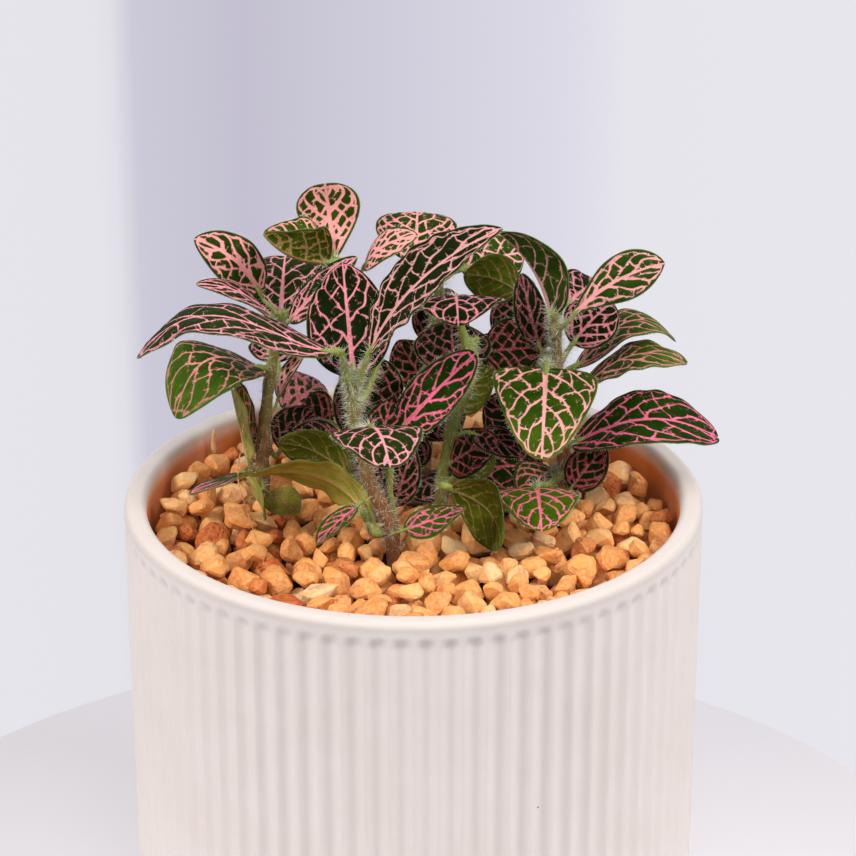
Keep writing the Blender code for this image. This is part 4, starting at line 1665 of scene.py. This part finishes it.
@dataclass
class Stem:
    """One stem with its nodes, its leaves' stalks, its buds and its coat of hairs.

    Lengths are in millimetres. A stalk runs straight for its lead and tucks under the blade.
    """

    name: str
    look: StemLook
    step: float = 0.5
    voxel: float = 0.26
    thick: float = 1.55
    taper: float = 0.4
    swelling: float = 0.22
    sides: int = 12
    lead: float = 2.1
    tuck: float = 0.28
    softening: int = 4
    hairs_per_square_metre: float = 3.1e6

    @property
    def leaves(self) -> list[Leaf]:
        """The leaves that grow from this stem."""
        return [leaf for leaf in LEAVES + UNDERSTOREY if leaf.stem == self.name]

    def _stalk(self, leaf: Leaf) -> tuple[np.ndarray, np.ndarray]:
        """A leaf's stalk: out of the stem, into the blade's own direction and under its base.

        Args:
            leaf: The leaf.

        Returns:
            Points along its middle, and its radius at each.
        """
        path = SIDE_SHOOTS[self.name] if leaf.name in SHOOT_LEAVES else STEMS[self.name]
        start = height_on(path, leaf.node)
        base = leaf.surface(0.0, 0.0)
        along = unit(leaf.surface(0.04, 0.0) - base)
        lead = base - along * self.lead
        reach = np.linalg.norm(lead - start)
        bend = (start + lead) / 2 - np.array((0, 0, leaf.sag * reach))
        span = min(2.6, leaf.length * 0.16)
        under = leaf.surface(span / leaf.length, 0.0)
        normal = unit(np.cross(leaf.surface(0.05, 0.15) - base, along))
        tip = under - normal * math.copysign(self.tuck, float(normal @ np.array(leaf.face, float)))
        line = curve_through((start, bend, lead, base, tip), self.step)
        s = np.linspace(0, 1, len(line))
        size = float(np.clip(leaf.width / 14, 0.6, 1.25))
        radii = 0.62 + 0.55 * (1 - s) ** 3 + 0.12 * smooth(s, 0.6, 0.85)
        return line, size * (radii - 0.42 * smooth(s, 0.82, 1.0))

    def bars(self) -> list[tuple[np.ndarray, np.ndarray]]:
        """The main stem, its side shoot, stalks and buds.

        Returns:
            Middle line and radius of each.
        """
        line = curve_through(STEMS[self.name], self.step)
        share = smooth(line[:, 2], -10.0, line[-1, 2])
        radii = self.thick - self.taper * share
        heights = sorted({leaf.node for leaf in self.leaves if leaf.name not in SHOOT_LEAVES})
        for height in heights:
            radii = radii + self.swelling * np.exp(-(((line[:, 2] - height) / 1.3) ** 2))
        bars = [(line, np.clip(radii, 0.9, 1.95))]
        if self.name in SIDE_SHOOTS:
            shoot = curve_through(SIDE_SHOOTS[self.name], self.step)
            bars.append((shoot, 1.15 - 0.2 * np.linspace(0, 1, len(shoot))))
        bars += [self._stalk(leaf) for leaf in self.leaves]
        crown = line[-1]
        for turn, lean in ((0.6, 1.0), (3.6, 0.8)):
            away = np.array((math.cos(turn) * lean, math.sin(turn) * lean, 3.0))
            bud = np.array([crown, crown + away * 0.55, crown + away * 1.05])
            tip = curve_through(bud, 0.3)
            bars.append((tip, np.full(len(tip), 0.7)))
        return bars

    def _age(self, points: np.ndarray) -> tuple[np.ndarray, np.ndarray]:
        """How brown and how hairy the skin is at each point.

        Args:
            points: Places in millimetres from the rim plane's centre.

        Returns:
            Age from 0 to 1, and hairiness from 0 to 1.
        """
        line = curve_through(STEMS[self.name], 1.0)
        off = np.min(np.linalg.norm(points[:, None] - line[None], axis=2), axis=1)
        top = line[-1, 2]
        up = np.clip((points[:, 2] + 5) / (top + 5), 0, 1)
        stalk = smooth(off, 1.6, 3.2)
        brown = self.look.age * (1.15 - 0.55 * up)
        age = brown * (1 - stalk) + 0.32 * brown * stalk
        low = points[:, 2] > -7.5
        hairs = (0.35 + 0.65 * smooth(up, 0.35, 0.95)) * (1 - 0.45 * smooth(off, 3.0, 8.0)) * low
        return np.clip(age, 0, 1), np.clip(hairs, 0, 1)

    def build(self, skin: bpy.types.Material, hair: bpy.types.Material, coat: Recipe, seed: int) -> None:
        """Makes the stem and its hairs.

        Args:
            skin: The stem's finish.
            hair: The hairs' finish.
            coat: The tree that grows hairs on a surface.
            seed: Picks where the hairs stand.
        """
        points, quads, caps, count = [], [], [], 0
        for line, radii in self.bars():
            p, q, c = tube(line, radii, self.sides)
            points.append(p)
            quads.append(q + count)
            caps.append(c + count)
            count += len(p)
        faces = [np.concatenate(quads), np.concatenate(caps)]
        mesh = make_mesh(self.name, to_metres(np.concatenate(points)), faces)
        obj = add_object(self.name + "_growth", mesh)
        join = obj.modifiers.new("join", "REMESH")
        join.mode = "VOXEL"
        join.voxel_size = self.voxel * MM
        join.use_smooth_shade = True
        soften = obj.modifiers.new("soften", "SMOOTH")
        soften.iterations = self.softening
        settle_modifiers(obj)
        places = places_of(obj) / MM - np.array((0, 0, POT_HEIGHT))
        age, hairs = self._age(places)
        set_numbers(obj.data, "age", age)
        set_numbers(obj.data, "hairs", hairs)
        obj.data.materials.clear()
        obj.data.materials.append(skin)
        keep_piece(obj, "stem", self.name)
        coated = add_object(self.name + "_hairs", obj.data.copy())
        density = self.look.hairs * self.hairs_per_square_metre
        coat.grow(coated, Density=density, Seed=seed, Finish=hair)
        keep_piece(coated, "stem")


def hair_coat() -> Recipe:
    """Writes the tree that covers a surface with leaning hairs where its hairs attribute is high.

    Returns:
        The tree.
    """
    knobs = {
        "Density": ("NodeSocketFloat", 1e6),
        "Length": ("NodeSocketFloat", 0.0019),
        "Width": ("NodeSocketFloat", 0.00004),
        "Seed": ("NodeSocketInt", 0),
        "Finish": ("NodeSocketMaterial", None),
    }
    recipe = Recipe("hair coat", knobs)
    net, source = recipe.net, recipe.source
    density = source["Density"] * net.named("hairs")
    inputs = {"Mesh": source["Geometry"], "Density": density, "Seed": source["Seed"]}
    roots = net.node("GeometryNodeDistributePointsOnFaces", {}, inputs)
    ends = {0: (-0.7,) * 3, 1: (0.7,) * 3}
    lean = net.node("FunctionNodeRandomValue", {"data_type": "FLOAT_VECTOR"}, ends)
    tilt = net.node("FunctionNodeEulerToRotation", {}, {0: lean})
    turned = {"Rotation": roots.other("Rotation"), "Rotate By": tilt}
    turn = net.node("FunctionNodeRotateRotation", {"rotation_space": "LOCAL"}, turned)
    share = net.node("FunctionNodeRandomValue", {"data_type": "FLOAT"}, {2: 0.45, 3: 1.25}, out=1)
    recipe.stand_hairs(roots, turn, share * source["Length"])
    return recipe


# ---------------------------------------------------------------- stones


GOLDEN_ANGLE = 2.39996


@dataclass(frozen=True)
class Stone:
    """A crushed stone: a solid of flat breaks with chipped edges."""

    shape: bmesh.types.BMesh
    normals: np.ndarray
    depths: np.ndarray

    @classmethod
    def cut(cls, rng: np.random.Generator) -> "Stone":
        """A stone of radius about one, with seeded corners.

        Args:
            rng: Source of the corners.

        Returns:
            The stone.
        """
        count = int(rng.integers(9, 13))
        k = np.arange(count) + 0.5
        lift, turn = 1 - 2 * k / count, k * GOLDEN_ANGLE + rng.uniform(0, math.tau)
        ring = np.sqrt(1 - lift**2)
        ball = np.stack([ring * np.cos(turn), ring * np.sin(turn), lift], axis=1)
        corners = unit(ball + rng.normal(0, 0.2, (count, 3)))
        corners = corners * rng.uniform(0.82, 1.08, (count, 1))
        corners = corners * (1.05, rng.uniform(0.7, 0.98), rng.uniform(0.55, 0.85))
        shape = bmesh.new()
        hull = bmesh.ops.convex_hull(shape, input=[shape.verts.new(corner) for corner in corners])
        loose = [v for v in hull["geom_interior"] if isinstance(v, bmesh.types.BMVert)]
        bmesh.ops.delete(shape, geom=loose, context="VERTS")
        bmesh.ops.dissolve_limit(shape, angle_limit=math.radians(16), verts=shape.verts, edges=shape.edges)
        bmesh.ops.triangulate(shape, faces=[face for face in shape.faces if len(face.verts) > 6])
        shape.normal_update()
        normals = np.array([face.normal for face in shape.faces])
        depths = np.array([face.normal.dot(face.verts[0].co) for face in shape.faces])
        return cls(shape, normals, depths)

    def mesh(self, name: str, chip: float = 0.11) -> bpy.types.Mesh:
        """The stone with its edges chipped off, of a few dozen faces.

        Args:
            name: The mesh's name.
            chip: How much comes off, as a share of its radius.

        Returns:
            The mesh.
        """
        shape = self.shape
        edges = {"geom": list(shape.edges), "affect": "EDGES"}
        bmesh.ops.bevel(shape, offset=chip, segments=1, clamp_overlap=True, **edges)
        shape.verts.index_update()
        areas = np.array([face.calc_area() for face in shape.faces])
        worn = np.zeros(len(shape.verts))
        for face, small in zip(shape.faces, areas < 0.35 * areas.max()):
            worn[[v.index for v in face.verts]] += float(small)
        mesh = bpy.data.meshes.new(name)
        shape.to_mesh(mesh)
        shape.free()
        mesh.shade_flat()
        set_numbers(mesh, "worn", np.clip(worn / 2, 0, 1))
        return mesh

    def turned(self, matrix: np.ndarray, size: float) -> tuple[np.ndarray, np.ndarray]:
        """Its breaks' normals and depths after a turn and a scale."""
        return self.normals @ matrix.T, self.depths * size


@dataclass
class Gravel:
    """Loose stones dropped one by one until they fill the pot's mouth; lengths in millimetres."""

    radius: float = 57.0
    floor: float = -16.6
    level: float = -6.0
    smallest: float = 3.1
    largest: float = 6.3
    kinds: int = 28
    most: int = 820
    pitch: float = 0.6
    seed: int = 8
    blocked: float = 99.0
    stem_room: float = 1.95
    leaf_room: float = 0.75
    stalk_room: float = 0.2
    roof_top: float = 8.0
    tries: int = 36
    misses: int = 170
    misses_large: int = 60

    def _fields(self) -> tuple[np.ndarray, np.ndarray, np.ndarray]:
        """What the stones fall on, and what hangs over them.

        Returns:
            Grid ticks, the height of the ground and the height of the roof.
        """
        ticks = np.arange(-self.radius - 3, self.radius + 3, self.pitch)
        x, y = np.meshgrid(ticks, ticks, indexing="ij")
        ground = np.where(np.hypot(x, y) > self.radius, self.blocked, self.floor)
        roof = np.full(x.shape, self.blocked)
        for path in STEMS.values():
            ground[np.hypot(x - path[0][0], y - path[0][1]) < self.stem_room] = self.blocked
        t, u = np.linspace(0, 1, 60)[:, None], np.linspace(-1, 1, 25)[None, :]
        clouds = [(leaf.surface(t, u).reshape(-1, 3), self.leaf_room) for leaf in LEAVES + UNDERSTOREY]
        for name, look in STEM_LOOKS.items():
            for line, radii in Stem(name, look).bars():
                above = line[line[:, 2] > self.level]
                if line[-1, 2] > self.level:
                    clouds.append((above, float(radii.max()) + self.stalk_room))
        for cloud, spare in clouds:
            cloud = cloud[cloud[:, 2] < self.roof_top]
            spread = math.ceil(spare / self.pitch)
            i, j = (np.round((cloud[:, k] - ticks[0]) / self.pitch).astype(int) for k in (0, 1))
            for di in range(-spread, spread + 1):
                for dj in range(-spread, spread + 1):
                    a, b = np.clip(i + di, 0, len(ticks) - 1), np.clip(j + dj, 0, len(ticks) - 1)
                    np.minimum.at(roof, (a, b), cloud[:, 2] - spare)
        return ticks, ground, roof

    @staticmethod
    def _matrix(turn: np.ndarray) -> np.ndarray:
        """A rotation about x, then y, then z.

        Args:
            turn: The three angles.

        Returns:
            The rotation matrix.
        """
        cx, cy, cz = np.cos(turn)
        sx, sy, sz = np.sin(turn)
        about_x = np.array([(1, 0, 0), (0, cx, -sx), (0, sx, cx)])
        about_y = np.array([(cy, 0, sy), (0, 1, 0), (-sy, 0, cy)])
        about_z = np.array([(cz, -sz, 0), (sz, cz, 0), (0, 0, 1)])
        return about_z @ about_y @ about_x

    def _reach(self, normals: np.ndarray, depths: np.ndarray, size: float) -> tuple[np.ndarray, ...]:
        """Cells that a stone covers, with its lower and upper surface over each.

        Args:
            normals: Directions of its breaks.
            depths: Their distances from its middle.
            size: Its radius.

        Returns:
            Cell offsets along x and y, lower heights and upper heights.
        """
        n = math.ceil(size * 1.25 / self.pitch)
        i, j = (m.ravel() for m in np.meshgrid(np.arange(-n, n + 1), np.arange(-n, n + 1), indexing="ij"))
        room = depths[None] - (np.stack([i, j], axis=1) * self.pitch) @ normals[:, :2].T
        rise = normals[:, 2]
        up, down, far = rise > 0.02, rise < -0.02, self.blocked
        high = np.min(np.where(up, room / np.where(up, rise, 1), far), axis=1)
        low = np.max(np.where(down, room / np.where(down, rise, -1), -far), axis=1)
        inside = (high > low + 0.2) & np.all(up | down | (room > 0), axis=1)
        return i[inside], j[inside], low[inside], high[inside]

    def settle(self, stones: list[Stone]) -> dict[str, np.ndarray]:
        """Drops the stones.

        Args:
            stones: The shapes to choose from.

        Returns:
            Place, kind, turn and size of every stone.
        """
        rng = np.random.default_rng(self.seed)
        ticks, ground, roof = self._fields()
        rows: dict[str, list] = {"place": [], "kind": [], "turn": [], "size": []}
        missed = 0
        while len(rows["size"]) < self.most and missed < self.misses:
            size = (self.largest - self.smallest) * rng.beta(1.5, 1.9)
            size = self.smallest + size * (1 if missed < self.misses_large else 0.6)
            kind = int(rng.integers(len(stones)))
            turn = np.array((rng.normal(0, 0.6), rng.normal(0, 0.6), rng.uniform(0, math.tau)))
            i, j, low, high = self._reach(*stones[kind].turned(self._matrix(turn), size), size)
            far = (self.radius - size * 0.5) * np.sqrt(rng.uniform(0, 1, self.tries))
            way = rng.uniform(0, math.tau, self.tries)
            ci = np.round((far * np.cos(way) - ticks[0]) / self.pitch).astype(int)
            cj = np.round((far * np.sin(way) - ticks[0]) / self.pitch).astype(int)
            a = np.clip(ci[:, None] + i, 0, len(ticks) - 1)
            b = np.clip(cj[:, None] + j, 0, len(ticks) - 1)
            rest = np.max(ground[a, b] - low, axis=1)
            clear = np.min(roof[a, b] - high - rest[:, None], axis=1) > 0.12
            top = rest + high.max()
            x, y = ticks[ci.clip(0, len(ticks) - 1)], ticks[cj.clip(0, len(ticks) - 1)]
            heap = 2.2 * smooth(np.hypot(x, y), 34.0, 52.0) * smooth(y - 0.3 * x, -12.0, 14.0)
            limit = self.level + 1.3 + heap + 0.7 * ripple(x, y, 3, 26.0)
            score = np.where(clear & (top < limit), rest + 0.35 * size, self.blocked)
            best = int(np.argmin(score))
            if score[best] >= self.blocked:
                missed += 1
                continue
            missed = max(0, missed - 3)
            cells = (a[best], b[best])
            ground[cells] = np.maximum(ground[cells], rest[best] + high)
            for key, value in zip(rows, ((x[best], y[best], rest[best]), kind, turn, size)):
                rows[key].append(value)
        return {key: np.array(value) for key, value in rows.items()}

    @staticmethod
    def scattering() -> Recipe:
        """Writes the tree that puts the chosen stone on every point, turned and scaled as it says.

        Returns:
            The tree.
        """
        knobs = {"Stones": ("NodeSocketCollection", None), "Finish": ("NodeSocketMaterial", None)}
        recipe = Recipe("scattering", knobs)
        net, source = recipe.net, recipe.source
        inputs = {"Collection": source["Stones"], "Separate Children": True, "Reset Children": True}
        shapes = net.node("GeometryNodeCollectionInfo", {}, inputs)
        turn, size = net.named("turn", "FLOAT_VECTOR"), net.named("size")
        inputs = {
            "Points": source["Geometry"],
            "Instance": shapes,
            "Pick Instance": True,
            "Instance Index": net.named("kind", "INT"),
            "Rotation": net.node("FunctionNodeEulerToRotation", {}, {0: turn}),
            "Scale": net.joined(size, size, size),
        }
        recipe.close(net.node("GeometryNodeInstanceOnPoints", {}, inputs))
        return recipe

    def build(self) -> None:
        """Makes the bed of stones."""
        rng = np.random.default_rng(self.seed + 1)
        stones = [Stone.cut(rng) for _ in range(self.kinds)]
        shapes = bpy.data.collections.new("stone_shapes")
        for number, stone in enumerate(stones):
            name = f"stone_{number:02d}"
            shapes.objects.link(bpy.data.objects.new(name, stone.mesh(name)))
        rows = self.settle(stones)
        count = len(rows["size"])
        LOG.info("%d stones", count)
        mesh = make_mesh("stone_places", to_metres(rows["place"]), [])
        set_numbers(mesh, "kind", rows["kind"], "INT")
        set_numbers(mesh, "turn", rows["turn"], "FLOAT_VECTOR")
        set_numbers(mesh, "size", rows["size"] * MM)
        set_numbers(mesh, "shade", rng.beta(1.6, 1.5, count))
        set_numbers(mesh, "rust", (rng.uniform(0, 1, count) < 0.10) * rng.uniform(0.65, 1.0, count))
        bed = add_object("loose_stones", mesh)
        self.scattering().grow(bed, Stones=shapes, Finish=StoneFinish("honey_stone").make())
        keep_piece(bed, "gravel", "gravel_bed")
        for shape in list(shapes.objects):
            bpy.data.objects.remove(shape)
        bpy.data.collections.remove(shapes)


# ---------------------------------------------------------------- small things and studio


@dataclass(frozen=True)
class Litter:
    """A dead thread of the plant that lies about; lengths in millimetres."""

    name: str
    radius: float
    tint: str
    path: tuple

    def build(self) -> None:
        """Makes the piece."""
        line = curve_through(self.path, 0.5)
        thin = self.radius * (0.8 + 0.3 * ripple(np.arange(len(line)), 0.0, 4, 7))
        points, quads, caps = tube(line, thin, 7)
        mesh = make_mesh(self.name, to_metres(points), [quads, caps])
        mesh.materials.append(DryFinish(self.name + "_skin", self.tint).make())
        keep_piece(add_object(self.name, mesh), "stem")


FIBRE_PATH = (
    (-36.7, 8, 14), (-37, -2, 11.5), (-36.8, -18, 11.2),
    (-34.5, -20.5, 3.6), (-31.8, -27, -2.2), (-31, -28, -5),
)  # fmt: skip
LITTER = (
    Litter("dry_fibre", 0.16, "9a4a26", FIBRE_PATH),
    Litter("pale_twig", 0.6, "d9b98c", ((-45, 32.5, -7), (-45.3, 32.5, -3.5), (-45, 32, 0.5))),
)


@dataclass
class Studio:
    """Camera, table, backdrop and soft lights; lengths in metres."""

    camera_place: tuple = (0.0, -0.6259, 0.4055)
    pitch_down: float = 23.75
    yaw: float = 0.286
    lens: float = 134.0
    table_radius: float = 0.139
    table_place: tuple = (-0.005, 0.003, -0.00005)
    table_steps: int = 128
    table_edge: tuple = (
        (0.0005, 0.0), (1.0, 0.0), (1.006, -0.0012), (1.008, -0.004), (1.006, -0.014), (0.0005, -0.015)
    )  # fmt: skip
    wall_half: float = 3.0
    wall_back: float = 1.2
    wall_low: float = -2.5
    wall_high: float = 2.4

    def camera(self) -> None:
        """Sets up the camera."""
        data = bpy.data.cameras.new("camera")
        data.lens = self.lens
        data.sensor_width = 36.0
        data.clip_start = 0.01
        obj = bpy.data.objects.new("camera", data)
        obj.location = self.camera_place
        obj.rotation_euler = (math.radians(90 - self.pitch_down), 0, math.radians(-self.yaw))
        bpy.context.scene.collection.objects.link(obj)
        bpy.context.scene.camera = obj

    def table(self) -> None:
        """A round pale table top and a glowing backdrop with a band of painted shade."""
        steps, (left, back, down) = self.table_steps, self.table_place
        angle = np.arange(steps) / steps * math.tau
        parts = []
        for share, z in self.table_edge:
            r = share * self.table_radius
            ring = (r * np.cos(angle) + left, r * np.sin(angle) + back, 0 * angle + z + down)
            parts.append(np.stack(ring, axis=1))
        index = np.arange(len(parts) * steps).reshape(len(parts), steps)
        turn = np.roll(index, -1, axis=1)
        quads = np.stack([index[:-1], index[1:], turn[1:], turn[:-1]], axis=-1).reshape(-1, 4)
        top = add_object("table_top", make_mesh("table_top", np.concatenate(parts), [quads]))
        top.data.materials.append(PaperFinish("table_paint").make())
        wide, far, low, high = self.wall_half, self.wall_back, self.wall_low, self.wall_high
        corners = np.array([(-wide, far, low), (wide, far, low), (wide, far, high), (-wide, far, high)])
        wall = add_object("backdrop", make_mesh("backdrop", corners, [np.array([(0, 1, 2, 3)])]))
        wall.data.materials.append(BackdropFinish("backdrop_glow_painted_shade").make())

    def lights(self) -> None:
        """Large soft lights on both sides and above, and a pale surround."""
        boxes = (
            ("left_box", (-0.78, -0.43, 0.74), 0.4, 7.8, "fffaf4"),
            ("right_box", (0.72, -0.35, 0.84), 0.4, 8.2, "fffaf6"),
            ("front_box", (0.12, -0.9, 0.74), 0.5, 2.7, "fffbf8"),
            ("top_box", (0.05, -0.16, 0.95), 0.4, 0.5, "ffffff"),
        )
        for name, place, size, power, tint in boxes:
            data = bpy.data.lights.new(name, "AREA")
            data.shape = "DISK"
            data.size = size
            data.energy = power
            data.color = hue(tint)
            obj = bpy.data.objects.new(name, data)
            obj.location = place
            obj.rotation_euler = (Vector((0, 0, 0.13)) - Vector(place)).to_track_quat("-Z", "Y").to_euler()
            bpy.context.scene.collection.objects.link(obj)
        world = bpy.data.worlds.new("surround")
        world.use_nodes = True
        back = next(n for n in world.node_tree.nodes if n.type == "BACKGROUND")
        back.inputs["Color"].default_value = (*hue("eceaf2"), 1)
        back.inputs["Strength"].default_value = 0.35
        bpy.context.scene.world = world

    def build(self) -> None:
        """Sets the scene round the plant."""
        self.camera()
        self.table()
        self.lights()
        view = bpy.context.scene.view_settings
        view.view_transform = "Standard"
        view.look = "None"


def write_sizes() -> None:
    """Updates the view layer."""
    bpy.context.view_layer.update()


def main() -> None:
    """Builds every part of the plant, its pot and the studio."""
    logging.basicConfig(level=logging.INFO, format="%(name)s %(message)s")
    Studio().build()
    Pot().build()
    Soil().build()
    Gravel().build()
    hair = HairFinish("plant_hairs").make()
    Foliage().build(LeafFinish("leaf_skin").make(), hair)
    stem_skin, coat = StemFinish("stem_skin").make(), hair_coat()
    for seed, (name, look) in enumerate(STEM_LOOKS.items()):
        Stem(name, look).build(stem_skin, hair, coat, seed)
    for litter in LITTER:
        litter.build()
    write_sizes()


if __name__ == "__main__":
    main()
